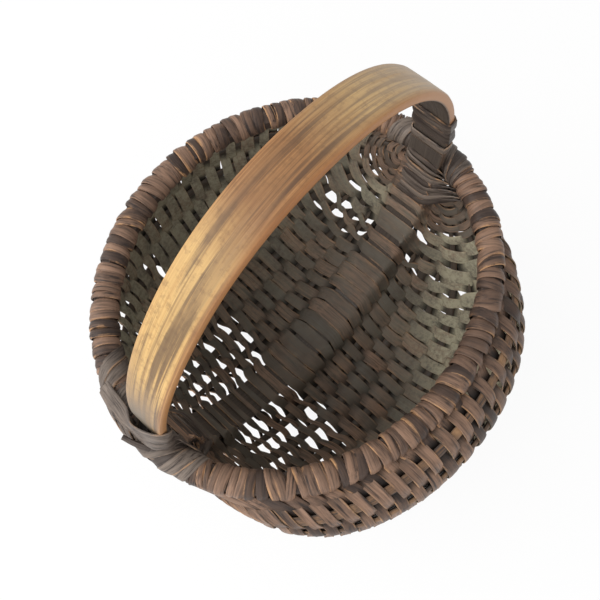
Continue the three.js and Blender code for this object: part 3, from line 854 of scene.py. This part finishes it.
class Wood:
    """A wood material, with short calls for its nodes. A value is a socket, a number or a colour."""

    def __init__(self, name):
        self.material = bpy.data.materials.new(name)
        self.material.use_nodes = True
        self.tree = self.material.node_tree
        self.shader = self.tree.nodes["Principled BSDF"]

    def feed(self, socket, value):
        """Links a socket to another one, or sets its value."""
        if isinstance(value, bpy.types.NodeSocket):
            self.tree.links.new(value, socket)
        else:
            socket.default_value = value

    def node(self, kind, inputs=(), **settings):
        """A node with its settings and what feeds it."""
        node = self.tree.nodes.new(kind)
        for key, value in settings.items():
            setattr(node, key, value)
        for key, value in dict(inputs).items():
            self.feed(node.inputs[key], value)
        return node

    def maths(self, operation, *values):
        """Arithmetic on two or three values."""
        return self.node("ShaderNodeMath", enumerate(values), operation=operation).outputs[0]

    def times(self, *values):
        """The product of some values."""
        product = values[0]
        for value in values[1:]:
            product = self.maths("MULTIPLY", product, value)
        return product

    def plus(self, a, b):
        """The sum of two values."""
        return self.maths("ADD", a, b)

    def noise(self, vector, scale, detail, rough):
        """Noise over a vector."""
        return self.node("ShaderNodeTexNoise", {
            "Vector": vector, "Scale": scale, "Detail": detail, "Roughness": rough}).outputs["Fac"]

    def ramp(self, value, low, high):
        """A value brought to 0 at low and 1 at high."""
        return self.node("ShaderNodeMapRange", {
            "Value": value, "From Min": low, "From Max": high}, clamp=True).outputs["Result"]

    def blend(self, factor, a, b):
        """One colour over another."""
        return self.node("ShaderNodeMix", {0: factor, 6: a, 7: b}, data_type="RGBA").outputs[2]

    def split(self, vector):
        """The three parts of a vector."""
        return self.node("ShaderNodeSeparateXYZ", {0: vector}).outputs

    def where(self):
        """Object coordinates."""
        return self.node("ShaderNodeTexCoord").outputs["Object"]

    def grain(self, along, across, seed=0.0):
        """The piece's own length and width, stretched so that noise draws wood grain."""
        length, width, _ = self.split(self.node("ShaderNodeUVMap", uv_map="grain").outputs["UV"])
        return self.node("ShaderNodeCombineXYZ", {
            0: self.times(length, along), 1: self.times(width, across), 2: seed}).outputs[0]

    def finish(self):
        """The four values of the finish attribute."""
        finish = self.node("ShaderNodeAttribute", attribute_name="finish")
        parts = self.node("ShaderNodeSeparateColor", {0: finish.outputs["Color"]})
        return [*parts.outputs, finish.outputs["Alpha"]]

    def done(self, colour, roughness, relief, strength, depth, specular=0.5):
        """Wires the colour, the roughness and the fine relief to the shader."""
        bump = self.node("ShaderNodeBump", {"Height": relief, "Strength": strength, "Distance": depth})
        for key, value in (("Base Color", colour), ("Roughness", roughness),
                           ("Specular IOR Level", specular), ("Normal", bump.outputs["Normal"])):
            self.feed(self.shader.inputs[key], value)
        return self.material


def splint_material(name, brown, pale):
    """Old splint: streaky grain, worn edges, grime and dust where it faces inwards, painted shade where it
    lies hidden under other splints or ribs, and painted shade on the outside of the near cheek towards the
    high-X ear.
    """
    c = bpy.context.scene.basket_colours
    wood = Wood(name)
    tone, wear, dust, openness_to_light = wood.finish()
    where = wood.where()
    seed = wood.times(tone, 9)
    grain = wood.noise(wood.grain(28, 480, seed), 1.0, 4, 0.65)
    fibre = wood.noise(wood.grain(60, 1250, seed), 1.0, 3, 0.65)
    broad = wood.noise(where, 34, 3, 0.6)
    patch = wood.noise(where, 85, 4, 0.65)
    speck = wood.noise(where, 420, 3, 0.7)
    streaks = wood.plus(wood.times(grain, 0.6), wood.times(fibre, 0.4))
    colour = wood.blend(wood.ramp(streaks, 0.40, 0.56), c.splint_dark, brown)

    lighter = wood.ramp(wood.plus(wood.times(patch, 0.9), tone), 0.6, 1.25)
    lighter = wood.times(lighter, wood.ramp(streaks, 0.36, 0.58), 0.9)
    colour = wood.blend(lighter, colour, pale)
    darker = wood.ramp(wood.plus(broad, tone), 1.0, 0.55)
    colour = wood.blend(wood.times(darker, 0.72), colour, c.splint_dark)
    worn = wood.times(wear, wood.ramp(wood.plus(patch, fibre), 0.85, 1.2))
    colour = wood.blend(wood.ramp(worn, 0.15, 0.6), colour, c.splint_worn)

    veil = wood.maths("MULTIPLY_ADD", wood.ramp(broad, 0.35, 0.62), 0.45, 0.5)
    veil = wood.maths("SUBTRACT", veil, wood.times(wood.ramp(tone, 0.45, 1.0), 0.4))
    between = wood.maths("MULTIPLY_ADD", wood.ramp(streaks, 0.62, 0.42), 0.35, 0.65)
    colour = wood.blend(wood.times(wood.ramp(dust, 0.1, 0.45), veil, between), colour, c.grime)
    dusty = wood.ramp(wood.plus(patch, speck), 0.68, 1.12)
    colour = wood.blend(wood.times(wood.ramp(dust, 0.45, 1.0), dusty, 0.85), colour, c.dust)

    x, y, _ = wood.split(where)
    # Painted shade: the outer faces of the near cheek towards the high-X ear are darkened towards the dark
    # splint colour, for the side of the basket that faces away from the light.
    sooted = wood.times(wood.ramp(x, -0.02, 0.04), wood.ramp(y, -0.05, -0.08), wood.ramp(dust, 0.4, 0.15))
    colour = wood.blend(wood.times(sooted, 0.4), colour, c.splint_dark)
    # Painted shade: where a face lies hidden under another splint or against a rib, its colour is darkened
    # towards the painted_crevice_shade colour.
    painted_shade_amount = wood.times(wood.ramp(openness_to_light, 0.5, 0.08), 0.9)
    colour = wood.blend(painted_shade_amount, colour, c.painted_crevice_shade)

    rough = wood.maths("MULTIPLY_ADD", wood.ramp(streaks, -0.4, 1.4), 0.35, 0.28)
    rough = wood.maths("MULTIPLY_ADD", wood.ramp(dust, 0.1, 0.5), 0.25, rough)
    relief = wood.plus(streaks, wood.times(speck, 0.4))
    return wood.done(colour, rough, relief, strength=0.8, depth=0.0005, specular=0.22)


def rib_material():
    """Split ribs: orange-brown with dark grain outside, grimy inside."""
    c = bpy.context.scene.basket_colours
    wood = Wood("rib_wood")
    inner = wood.finish()[2]
    grain = wood.noise(wood.grain(60, 1500), 1.0, 4, 0.6)
    broad = wood.noise(wood.where(), 60, 3, 0.6)
    colour = wood.blend(wood.ramp(grain, 0.38, 0.62), c.splint_dark, c.rib)
    colour = wood.blend(wood.ramp(broad, 0.48, 0.7), colour, c.rib_pale)
    colour = wood.blend(wood.times(inner, 0.85), colour, c.rib_grime)
    return wood.done(colour, 0.6, grain, strength=0.5, depth=0.0004)


def handle_material():
    """Worn bent wood: honey middle, long dark streaks, orange edges, grey foot, dark inner face."""
    c = bpy.context.scene.basket_colours
    wood = Wood("handle_wood")
    shine, wear, inner, height = wood.finish()
    where = wood.where()
    x = wood.split(where)[0]
    across = wood.split(wood.grain(1, 1))[1]
    fine = wood.noise(wood.grain(26, 1300), 1.0, 5, 0.62)
    streak = wood.noise(wood.grain(8, 400), 1.0, 4, 0.55)
    broad = wood.noise(wood.grain(16, 70), 1.0, 4, 0.6)
    mottle = wood.noise(where, 330, 4, 0.7)
    faded = wood.times(wood.ramp(x, 0.0, 0.07), 0.7)

    brown = wood.blend(wood.ramp(fine, 0.35, 0.65), c.hoop_deep, c.hoop)
    honey = wood.blend(wood.ramp(fine, 0.3, 0.6), c.honey_deep, c.honey)
    shine = wood.plus(shine, wood.times(broad, 0.5))
    colour = wood.blend(wood.ramp(shine, 0.45, 0.95), brown, honey)
    colour = wood.blend(wood.times(wood.ramp(mottle, 0.5, 0.68), 0.45), colour, c.mottle)
    lines = wood.times(wood.ramp(streak, 0.47, 0.56), wood.ramp(broad, 0.30, 0.52))
    lines = wood.times(lines, wood.maths("SUBTRACT", 0.78, wood.times(faded, 0.6)))
    colour = wood.blend(lines, colour, c.streak)
    colour = wood.blend(wood.times(faded, wood.ramp(fine, 0.2, 0.5)), colour, c.faded)
    stained = wood.times(wood.ramp(broad, 0.55, 0.42), wood.ramp(fine, 0.3, 0.7), 0.45)
    colour = wood.blend(stained, colour, c.stain)
    colour = wood.blend(wood.times(wear, 0.75), colour, c.hoop_edge)

    foot = wood.ramp(wood.plus(height, wood.times(broad, 0.3)), 0.78, 0.40)
    foot = wood.times(foot, wood.ramp(across, -0.0135, -0.004), wood.ramp(x, 0.06, 0.02),
                      wood.maths("MULTIPLY_ADD", wood.ramp(fine, 0.35, 0.6), 0.25, 0.75))
    colour = wood.blend(foot, colour, c.grey)
    dark = wood.blend(wood.ramp(fine, 0.35, 0.65), c.inner_deep, c.inner)
    colour = wood.blend(inner, colour, dark)
    return wood.done(colour, 0.44, wood.plus(fine, streak), strength=0.35, depth=0.0004, specular=0.3)


def rim_material():
    """Rim stock between the wraps."""
    c = bpy.context.scene.basket_colours
    wood = Wood("rim_wood")
    grain = wood.noise(wood.where(), 260, 4, 0.6)
    colour = wood.blend(wood.ramp(grain, 0.3, 0.7), c.splint_dark, c.rim_stock)
    return wood.done(colour, 0.75, grain, strength=0.3, depth=0.0003)


def give_material(piece, material):
    """Leaves a piece with one material."""
    piece.data.materials.clear()
    piece.data.materials.append(material)


def dress(piece, material, node_names):
    """Gives a piece its material, its place on the body and the nodes it stands for."""
    give_material(piece, material)
    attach(piece, "root")
    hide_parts(*node_names)


# Operators: one for each group of like pieces.

class BASKET_OT_rim(bpy.types.Operator):
    """Finish the rim hoop"""

    bl_idname = "basket.rim"
    bl_label = "Rim Hoop"

    def execute(self, context):
        give_material(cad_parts["rim_hoop"], rim_material())
        return {"FINISHED"}


HOOP_STATIONS = 330
# The handle is worn to honey round two places: X and reach of each.
HONEY_PLACES = ((-66, 34), (52, 40))
# The band is dark under the lashings: heights above the rim at the high-X and low-X ears, and the
# slant of the latter over half the band.
LASHED_HIGH_X = 26
LASHED_LOW_X = 8
LASHED_SLANT = 8
# The height that the band's height value is counted from.
HEIGHT_FROM = -8
# How uneven the band is, its width and its place in millimetres, and how far its faces bulge.
HOOP_UNEVEN_WIDTH = 0.012
HOOP_UNEVEN_PLACE = 0.25
HOOP_CROWN = 0.15


def hoop_faces(s, travel):
    """Offsets of the band's inner and outer faces. Both ends taper and lie on each other."""
    half = s.hoop_thickness / 2
    taper = s.hoop_thickness - LAP_TIP
    back = travel - TURN
    inner = np.where(travel < LAP_TAPER, half - LAP_TIP - taper * np.clip(travel / LAP_TAPER, 0, 1), -half)
    step_in = (LAP_TIP + LAP_GAP) * smooth(1 + back / LAP_STEP)
    lost = taper * np.clip(back / LAP_TAPER, 0, 1)
    lapped = back > -LAP_STEP
    return np.where(lapped, -half - step_in, inner), np.where(lapped, half - step_in - lost, half)


def hoop_finish(s, middle):
    """Shine, edge wear, dark face and height for each vertex of the band."""
    x, height = middle[:, 0, None], middle[:, 2, None]
    across, outer = HOOP_SECTION.T
    shine = sum(np.exp(-((middle[:, 0] - place_x) / reach) ** 2) for place_x, reach in HONEY_PLACES)
    values = finish_values(len(middle), HOOP_SECTION, shine, 0, 0)
    # Wear lies on the outermost fifth of the width, and most of it on the near edge.
    values[..., 1] = np.clip(5 * np.abs(across) - 4, 0, 1) * (0.65 - 0.35 * across)
    lashed = np.where(x > 0, height < LASHED_HIGH_X, height < LASHED_LOW_X - LASHED_SLANT * across)
    values[..., 2] = np.where(outer < -0.3, 1.0, 0.0) + lashed * 0.85
    values[..., 3] = np.clip((height - HEIGHT_FROM) / s.handle_height, 0, 1)
    return values


class BASKET_OT_handle(bpy.types.Operator):
    """Bend the handle hoop"""

    bl_idname = "basket.handle"
    bl_label = "Handle Hoop"

    def execute(self, context):
        shape = BasketShape()
        s = shape.s
        rng = np.random.default_rng(HOOP_SEED)
        travel = np.linspace(0, TURN + LAP_TAPER, HOOP_STATIONS)
        inner, outer = hoop_faces(s, travel)
        middle, out = shape.hoop(travel - LAP_START, 0.0, (inner + outer) / 2)
        wide = shape.lean(np.broadcast_to(FAR_WARDS, middle.shape))
        at = lengths_along(middle)
        width = s.hoop_width / 2 * (1 + HOOP_UNEVEN_WIDTH * smooth_noise(rng, HOOP_STATIONS, 25))
        middle = middle + wide * (HOOP_UNEVEN_PLACE * smooth_noise(rng, HOOP_STATIONS, 30))[:, None]
        band = sweep("handle_band", middle, wide, out, width, (outer - inner) / 2,
                     HOOP_SECTION, at, hoop_finish(s, middle), crown=HOOP_CROWN)
        dress(band, handle_material(), ["handle_hoop"])
        return {"FINISHED"}


class BASKET_OT_ribs(bpy.types.Operator):
    """Lay the ribs of both cheeks"""

    bl_idname = "basket.ribs"
    bl_label = "Ribs"

    def execute(self, context):
        shape = BasketShape()
        material = rib_material()
        for side, cheek in ((-1, "near"), (1, "far")):
            for rib in ALL_RIBS:
                dress(make_rib(shape, side, rib), material, [f"rib_{cheek}_{rib:02d}"])
        return {"FINISHED"}


class BASKET_OT_weavers(bpy.types.Operator):
    """Weave the splints over the hoops and ribs"""

    bl_idname = "basket.weavers"
    bl_label = "Weavers"

    def execute(self, context):
        shape = BasketShape()
        colours = context.scene.basket_colours
        material = splint_material("splint_wood", colours.splint, colours.splint_pale)
        runs = body_passes(shape)
        for weaver in range(WEAVERS):
            rng = np.random.default_rng(WEAVER_SEED + weaver)
            first = weaver * PASSES_PER_WEAVER
            strand = strand_of(shape, runs[first:first + PASSES_PER_WEAVER], rng)
            piece = splint_piece(f"splint_{weaver + 1:02d}", shape, strand, rng)
            dress(piece, material, [f"weaver_{weaver + 1:02d}"])
        for ear, high_end in (("a", False), ("b", True)):
            rng = np.random.default_rng(EAR_PASS_SEED + high_end)
            strand = strand_of(shape, ear_passes(high_end), rng)
            piece = splint_piece(f"ear_{ear}_splint", shape, strand, rng)
            dress(piece, material, [f"ear_{ear}_band_near", f"ear_{ear}_band_far"])
        return {"FINISHED"}


# Lashings. A stop on the rim gives its place along the rim from the ear's middle (far side above 0),
# the angle round the stock in degrees (0 outside, 90 on top, 180 inside) and a lift in millimetres.
# A stop on the band gives degrees of the hoop above the ear, the place across the band (far edge 1)
# and the face (1 outer, 0 on the edge, -1 inner).

# Fans of strips laid beside each other, from the lowest layer up: width of a strip, number of
# strips, stops of the first strip and stops of the last one.
INSIDE_SPINE_A = (
    3.8, 4,
    [("rim", 0.050, 250, 0), ("band", -9, 0.9, -1), ("band", -9, -0.9, -1), ("rim", -0.050, 250, 0)],
    [("rim", 0.085, 270, 0), ("band", -20, 0.9, -1), ("band", -20, -0.9, -1), ("rim", -0.085, 270, 0)])
FAR_OF_EAR_A = (
    7.0, 4,
    [("rim", 0.165, 200, 0), ("rim", 0.140, 90, 0), ("rim", 0.118, 35, 0), ("rim", 0.085, 0, 0),
     ("rim", 0.050, -30, 0)],
    [("rim", 0.092, 205, 0), ("rim", 0.072, 90, 0), ("rim", 0.048, 40, 0), ("rim", 0.015, 5, 0),
     ("rim", -0.015, -35, 0)])
NEAR_OF_EAR_A = (
    7.4, 5,
    [("rim", 0.030, -75, 0), ("rim", 0.012, 5, 0), ("rim", -0.014, 80, 0), ("rim", -0.044, 150, 0),
     ("rim", -0.054, 230, 0)],
    [("rim", -0.056, -75, 0), ("rim", -0.062, 10, 0), ("rim", -0.074, 90, 0), ("rim", -0.086, 170, 0),
     ("rim", -0.090, 230, 0)])
OVER_HANDLE_A = (
    6.4, 3,
    [("rim", 0.105, 40, 0), ("rim", 0.085, 60, 0.5), ("rim", 0.050, 70, 1.5),
     ("band", -1.0, 0.3, 2.0), ("band", 2.0, -0.4, 1.8), ("band", 4.0, -0.9, 1.5),
     ("band", 3.5, -1.25, 0), ("band", 0.0, -0.9, -1.0), ("rim", -0.060, 215, 0)],
    [("rim", 0.115, 50, 0), ("rim", 0.095, 66, 1.5), ("rim", 0.065, 82, 4.5),
     ("band", 6.0, 0.5, 2.1), ("band", 9.0, -0.3, 1.7), ("band", 12.5, -0.9, 1.2),
     ("band", 12.5, -1.25, 0), ("band", 8.0, -0.9, -1.0), ("rim", -0.075, 200, 0)])
SPLINTER_STOPS = [("rim", -0.034, 110, -1.5), ("rim", -0.014, 68, -0.5), ("rim", 0.010, 50, 2),
                  ("rim", 0.032, 46, 4.6)]
SPLINTER_A = (2.8, 1, SPLINTER_STOPS, SPLINTER_STOPS)
PACKED_ON_BAND_B = (
    3.6, 9,
    [("band", 1.2, 0.8, 1), ("band", 1.6, 1.15, 0), ("band", 2.0, 0.8, -1),
     ("band", 1.4, -0.8, -1), ("rim", -0.058, 205, 0), ("rim", -0.066, 270, 0)],
    [("band", -14.0, 0.8, 1), ("band", -13.2, 1.15, 0), ("band", -12.6, 0.8, -1),
     ("band", -13.4, -0.8, -1), ("rim", -0.116, 245, 0), ("rim", -0.120, 290, 0)])
NEAR_OF_EAR_B = (
    4.2, 8,
    [("rim", 0.004, -50, 0), ("rim", -0.016, 80, 0), ("rim", -0.046, 175, 0), ("rim", -0.064, 240, 0)],
    [("rim", -0.068, -50, 0), ("rim", -0.070, 80, 0), ("rim", -0.074, 175, 0), ("rim", -0.080, 240, 0)])
FAR_OF_EAR_B = (
    4.2, 6,
    [("rim", 0.020, -40, 0), ("rim", 0.050, 60, 0), ("rim", 0.082, 120, 0), ("rim", 0.086, 185, 0),
     ("rim", 0.078, 250, 0)],
    [("rim", 0.006, -40, 0), ("rim", 0.030, 60, 0), ("rim", 0.047, 120, 0), ("rim", 0.050, 185, 0),
     ("rim", 0.046, 250, 0)])
FANS = {
    "a": (INSIDE_SPINE_A, FAR_OF_EAR_A, NEAR_OF_EAR_A, OVER_HANDLE_A, SPLINTER_A),
    "b": (PACKED_ON_BAND_B, NEAR_OF_EAR_B, FAR_OF_EAR_B),
}

# Belts go right round the band: angle, slant across the band, width, tone.
BELTS = {
    "a": ((-5.2, 0.8, 6.0, 0.4),),
    "b": ((15.2, 0.3, 9.5, 0.15), (20.0, -0.4, 8.5, 0.2), (23.6, 0.6, 3.0, 0.3), (9.7, 0.0, 5.4, 0.8)),
}
BELT_STATIONS = 96
BELT_SQUARENESS = 0.22
BELT_CLEARANCE = 0.55
BELT_JITTER = math.radians(0.5)
BELT_TILT = 0.1
BELT_WEAR = 0.5
BELT_CROWN = 0.3
# Low belts at the high-X ear also go round the lapped end of the band.
LAPPED_BELT_BELOW = 12
LAPPED_BELT_CLEARANCE = 0.5

# Crossings lie aslant over the rim where it passes the band: side they start on, shift in millimetres.
# They share reach and width, the angles round the stock, and the range of their height and wear.
CROSSINGS = ((-1, -6.0), (1, 5.0), (-1, 0.0), (1, -1.0), (-1, 7.0), (1, -7.5))
CROSSING_REACH = 15.0
CROSSING_WIDTH = 6.4
CROSSING_ARC = (165, -125, -12)
CROSSING_LIFT = (0.4, 0.9)
CROSSING_WEAR = (0.2, 0.8)

# Strips: spacing of their stations, tilt, tone, crown, width against what their row gives, and wear.
LASHING_STATION = 0.8
LAID_TILT = 0.2
LAID_TONE = (0.15, 0.65)
LAID_CROWN = 0.35
STRIP_WIDTH = (0.9, 1.1)
STRIP_WEAR = (0.0, 0.6)
# Height of the lowest strips, what each of two more layers adds and what each strip adds to the one
# before it, how much lower they lie on the band, and how much higher over its lapped end.
LAYER_START = 1.1
LAYER_STEP = 0.35
LAYER_CREEP = 0.02
BAND_LAYER_DROP = 0.4
LAP_LIFT = 1.5


def fan(count, first, last):
    """Stops of strips beside each other, drawn from the first one's to the last one's."""
    return [[(a[0],) + tuple(x + (y - x) * share for x, y in zip(a[1:], b[1:]))
             for a, b in zip(first, last)]
            for share in np.linspace(0, 1, count)]


def laid_strand(points, out, width, wear, rng):
    """A strip that lies along a line of points with the given ways out."""
    _, points, out = resample(points, LASHING_STATION, out)
    points, out = relax(points, 14), unit(relax(out, 14))
    run = unit(np.gradient(points, axis=0))
    strand = Strand()
    strand.add(points, out, unit(np.cross(run, out)), width=width,
               tilt=rng.uniform(-LAID_TILT, LAID_TILT), wear=wear, exposed=1.0,
               tone=rng.uniform(*LAID_TONE), crown=LAID_CROWN)
    return strand


def belt_strand(shape, high_end, angle, slant, width, tone, rng):
    """A splint that goes once round the band, snug to it."""
    s = shape.s
    half_across = s.hoop_width / 2 + BAND_CLEARANCE
    half_out = s.hoop_thickness / 2 + BELT_CLEARANCE
    half_in = half_out + (LAPPED_BELT_CLEARANCE if high_end and angle < LAPPED_BELT_BELOW else 0.0)
    turn = np.linspace(0, TURN, BELT_STATIONS + 1)[:-1]
    across, outer = (np.sign(x) * np.abs(x) ** BELT_SQUARENESS for x in (np.cos(turn), np.sin(turn)))
    across = across * half_across
    outer = outer * np.where(outer < 0, half_in, half_out)
    middle = math.radians(angle) if high_end else math.pi - math.radians(angle)
    lean = math.radians(slant) * across / half_across + BELT_JITTER * rng.uniform(-1, 1)
    p, _ = shape.hoop(middle + lean, across, outer)
    centre, _ = shape.hoop(np.full(BELT_STATIONS, middle), 0 * across, 0 * across)
    (above, _), (below, _) = (shape.hoop(middle + lean + step, across, outer) for step in (0.02, -0.02))
    strand = Strand()
    strand.add(p, unit(p - centre), unit(above - below), width=width,
               tilt=rng.uniform(-BELT_TILT, BELT_TILT), wear=BELT_WEAR, exposed=1.0, tone=tone,
               crown=BELT_CROWN)
    return strand


def rim_stops(shape, high_end, share, arc, lift):
    """Points and ways out on the rim near an ear."""
    side = np.where(share < 0, -1, 1)
    along = np.abs(share)
    return round_rim(shape, side, 1 - along if high_end else along, np.radians(arc), lift)


def band_stops(shape, high_end, angle, across, face, layer):
    """Points and ways out on the band near an ear."""
    s = shape.s
    turn = np.radians(angle) if high_end else math.pi - np.radians(angle)
    half = s.hoop_thickness / 2 + layer + np.where((face < 0) & high_end, LAP_LIFT, 0.0)
    p, out = shape.hoop(turn, across * (s.hoop_width / 2 + BAND_CLEARANCE), face * half)
    beyond = rising(np.abs(across), 0.85, 1.1) * np.sign(across)
    return p, unit(out * face[:, None] + shape.lean(FAR_WARDS) * beyond[:, None] * 1.5)


def stops_strand(shape, high_end, width, stops, layer, rng):
    """A splint of the lashing along its stops. Its ends may be single stops on the rim."""
    def rim_end(stop):
        share, arc = (np.array([value], float) for value in stop[1:-1])
        return rim_stops(shape, high_end, share, arc, np.array([layer]))

    t = np.linspace(0, 1, 13)
    pieces = []
    for here, following in zip(stops, stops[1:]):
        if here[0] != following[0]:
            continue
        values = [a + (b - a) * t for a, b in zip(here[1:], following[1:])]
        if here[0] == "rim":
            share, arc, lift = values
            pieces.append(rim_stops(shape, high_end, share, arc, lift + layer))
        else:
            pieces.append(band_stops(shape, high_end, *values, layer - BAND_LAYER_DROP))
    if stops[0][0] != stops[1][0]:
        pieces.insert(0, rim_end(stops[0]))
    if stops[-1][0] != stops[-2][0]:
        pieces.append(rim_end(stops[-1]))
    points, outs = (np.vstack(values) for values in zip(*pieces))
    return laid_strand(points, outs, width * rng.uniform(*STRIP_WIDTH), rng.uniform(*STRIP_WEAR), rng)


def crossing_strand(shape, high_end, side, shift, rng):
    """A splint aslant over the rim where it passes outside the band."""
    s = shape.s
    arc = np.radians(np.arange(*CROSSING_ARC))
    y = side * CROSSING_REACH * np.linspace(-1, 1, len(arc)) + shift
    sign = 1.0 if high_end else -1.0
    half_width = np.where(y < 0, s.near_rim_half_width, s.far_rim_half_width)
    reach = s.rim_half_length * np.sqrt(1 - (y / half_width) ** 2)
    radial = np.stack([sign * np.cos(arc), 0 * y, np.sin(arc)], -1)
    lift = s.rim_radius + rng.uniform(*CROSSING_LIFT)
    points = np.stack([sign * reach, y, 0 * y], -1) + radial * lift
    return laid_strand(points, radial, CROSSING_WIDTH, rng.uniform(*CROSSING_WEAR), rng)


def join_pieces(name, pieces):
    """One object from several meshes."""
    select_alone(pieces[0])
    for piece in pieces:
        piece.select_set(True)
    bpy.ops.object.join()
    pieces[0].name = name
    return pieces[0]


class BASKET_OT_lashings(bpy.types.Operator):
    """Lash both ears"""

    bl_idname = "basket.lashings"
    bl_label = "Ear Lashings"

    def execute(self, context):
        shape = BasketShape()
        colours = context.scene.basket_colours
        material = splint_material("lashing_wood", colours.lashing, colours.lashing_pale)
        for ear, high_end in (("a", False), ("b", True)):
            rng = np.random.default_rng(LASHING_SEED + high_end)
            pieces = []
            for belt in BELTS[ear]:
                strand = belt_strand(shape, high_end, *belt, rng)
                pieces.append(splint_piece("belt", shape, strand, rng, closed=True))
            for crossing in CROSSINGS:
                strand = crossing_strand(shape, high_end, *crossing, rng)
                pieces.append(splint_piece("crossing", shape, strand, rng))
            strips = [(width, stops) for width, *drawn in FANS[ear] for stops in fan(*drawn)]
            for number, (width, stops) in enumerate(strips):
                layer = LAYER_START + LAYER_STEP * (number % 3) + LAYER_CREEP * number
                strand = stops_strand(shape, high_end, width, stops, layer, rng)
                pieces.append(splint_piece("lay", shape, strand, rng))
            dress(join_pieces(f"ear_{ear}_lashing", pieces), material, [f"ear_{ear}_strap"])
        return {"FINISHED"}


# Stage, in metres and watts: the floor and how white it shows, the world, and the lamps, each with
# its place, size and power.
FLOOR_SIZE = 4
FLOOR_SHOWN = 0.9
WORLD_STRENGTH = 0.66
LAMPS = {
    "key": ((-0.9, 0.9, 1.1), 1.6, 20.0),
    "fill": ((-1.2, -0.4, 0.8), 1.8, 10.0),
}
LAMP_AIM = Vector((0, 0, 0.12))
CAMERA_LENS = 35.285
CAMERA_SENSOR = 36
CAMERA_ANGLES = (-54.092, 73.35, 6.414)
# The camera's distance and its aim beside the rim's middle are counted in this length.
CAMERA_UNIT = 0.105
CAMERA_DISTANCE = 2.844
CAMERA_AIM = Vector((-0.087, -0.038, 0))


def lay_floor():
    """A pale floor that shows white and keeps the basket's shadow."""
    bpy.ops.object.select_all(action="DESELECT")
    bpy.ops.mesh.primitive_plane_add(size=FLOOR_SIZE, location=(0, 0, 0))
    floor = bpy.context.object
    floor.name = "floor"
    paint = Wood("floor_white")
    paint.feed(paint.shader.inputs["Base Color"], bpy.context.scene.basket_colours.floor)
    paint.feed(paint.shader.inputs["Roughness"], 0.9)
    glow = paint.node("ShaderNodeEmission", {"Color": (1, 1, 1, 1), "Strength": 1.0})
    rays = paint.node("ShaderNodeLightPath").outputs
    seen = paint.maths("MAXIMUM", rays["Is Camera Ray"], rays["Is Glossy Ray"])
    seen = paint.maths("MAXIMUM", seen, rays["Is Transmission Ray"])
    mix = paint.node("ShaderNodeMixShader", {
        0: paint.times(seen, FLOOR_SHOWN), 1: paint.shader.outputs[0], 2: glow.outputs[0]})
    paint.feed(paint.tree.nodes["Material Output"].inputs["Surface"], mix.outputs[0])
    floor.data.materials.append(paint.material)


def hang_lamp(name, at, size, power):
    """A square lamp that shines at the basket."""
    lamp = bpy.data.lights.new(name, "AREA")
    lamp.size, lamp.energy = size, power
    hung = bpy.data.objects.new(name, lamp)
    bpy.context.scene.collection.objects.link(hung)
    hung.location = at
    hung.rotation_euler = (LAMP_AIM - Vector(at)).to_track_quat("-Z", "Y").to_euler()


def set_camera():
    """A camera high above the near side, towards the low-X ear, turned a little round its own axis."""
    camera = bpy.data.cameras.new("camera")
    camera.lens, camera.sensor_width = CAMERA_LENS, CAMERA_SENSOR
    camera.clip_start = 0.01
    seen_from = bpy.data.objects.new("camera", camera)
    bpy.context.scene.collection.objects.link(seen_from)
    azimuth, elevation, roll = (math.radians(a) for a in CAMERA_ANGLES)
    back = Vector((math.sin(azimuth) * math.cos(elevation),
                   -math.cos(azimuth) * math.cos(elevation), math.sin(elevation)))
    right = Vector((0, 0, 1)).cross(back).normalized()
    turned = Matrix.Rotation(roll, 3, back)
    axes = Matrix((turned @ right, turned @ back.cross(right), back)).transposed().to_4x4()
    target = Vector(HOOPS_MIDDLE) + CAMERA_AIM * CAMERA_UNIT
    seen_from.matrix_world = Matrix.Translation(target + back * CAMERA_DISTANCE * CAMERA_UNIT) @ axes
    bpy.context.scene.camera = seen_from


class BASKET_OT_stage(bpy.types.Operator):
    """Set up the floor, the lights and the camera"""

    bl_idname = "basket.stage"
    bl_label = "Stage"

    def execute(self, context):
        context.scene.view_settings.view_transform = "Standard"
        lay_floor()
        world = bpy.data.worlds.new("studio")
        world.use_nodes = True
        background = world.node_tree.nodes["Background"]
        background.inputs["Color"].default_value = (1, 1, 1, 1)
        background.inputs["Strength"].default_value = WORLD_STRENGTH
        context.scene.world = world
        for name, lamp in LAMPS.items():
            hang_lamp(name, *lamp)
        set_camera()
        return {"FINISHED"}


class BASKET_PT_panel(bpy.types.Panel):
    """Sidebar panel with the basket's steps"""

    bl_idname = "BASKET_PT_panel"
    bl_label = "Buttocks Basket"
    bl_space_type = "VIEW_3D"
    bl_region_type = "UI"
    bl_category = "Basket"

    def draw(self, context):
        for group in (context.scene.basket_sizes, context.scene.basket_colours):
            for key in group.bl_rna.properties.keys():
                if key not in ("rna_type", "name"):
                    self.layout.prop(group, key)
        for operator in STEPS:
            self.layout.operator(operator.bl_idname)


STEPS = (BASKET_OT_rim, BASKET_OT_handle, BASKET_OT_ribs, BASKET_OT_weavers, BASKET_OT_lashings,
         BASKET_OT_stage)
CLASSES = (BasketSizes, BasketColours) + STEPS + (BASKET_PT_panel,)


def register():
    """Registers the classes and the settings."""
    for cls in CLASSES:
        bpy.utils.register_class(cls)
    bpy.types.Scene.basket_sizes = bpy.props.PointerProperty(type=BasketSizes)
    bpy.types.Scene.basket_colours = bpy.props.PointerProperty(type=BasketColours)


def unregister():
    """Takes the settings and the classes away again."""
    del bpy.types.Scene.basket_colours
    del bpy.types.Scene.basket_sizes
    for cls in reversed(CLASSES):
        bpy.utils.unregister_class(cls)


def main():
    """Makes the basket."""
    register()
    bpy.ops.basket.rim()
    bpy.ops.basket.handle()
    bpy.ops.basket.ribs()
    bpy.ops.basket.weavers()
    bpy.ops.basket.lashings()
    bpy.ops.basket.stage()
    bpy.context.view_layer.update()


if __name__ == "__main__":
    main()
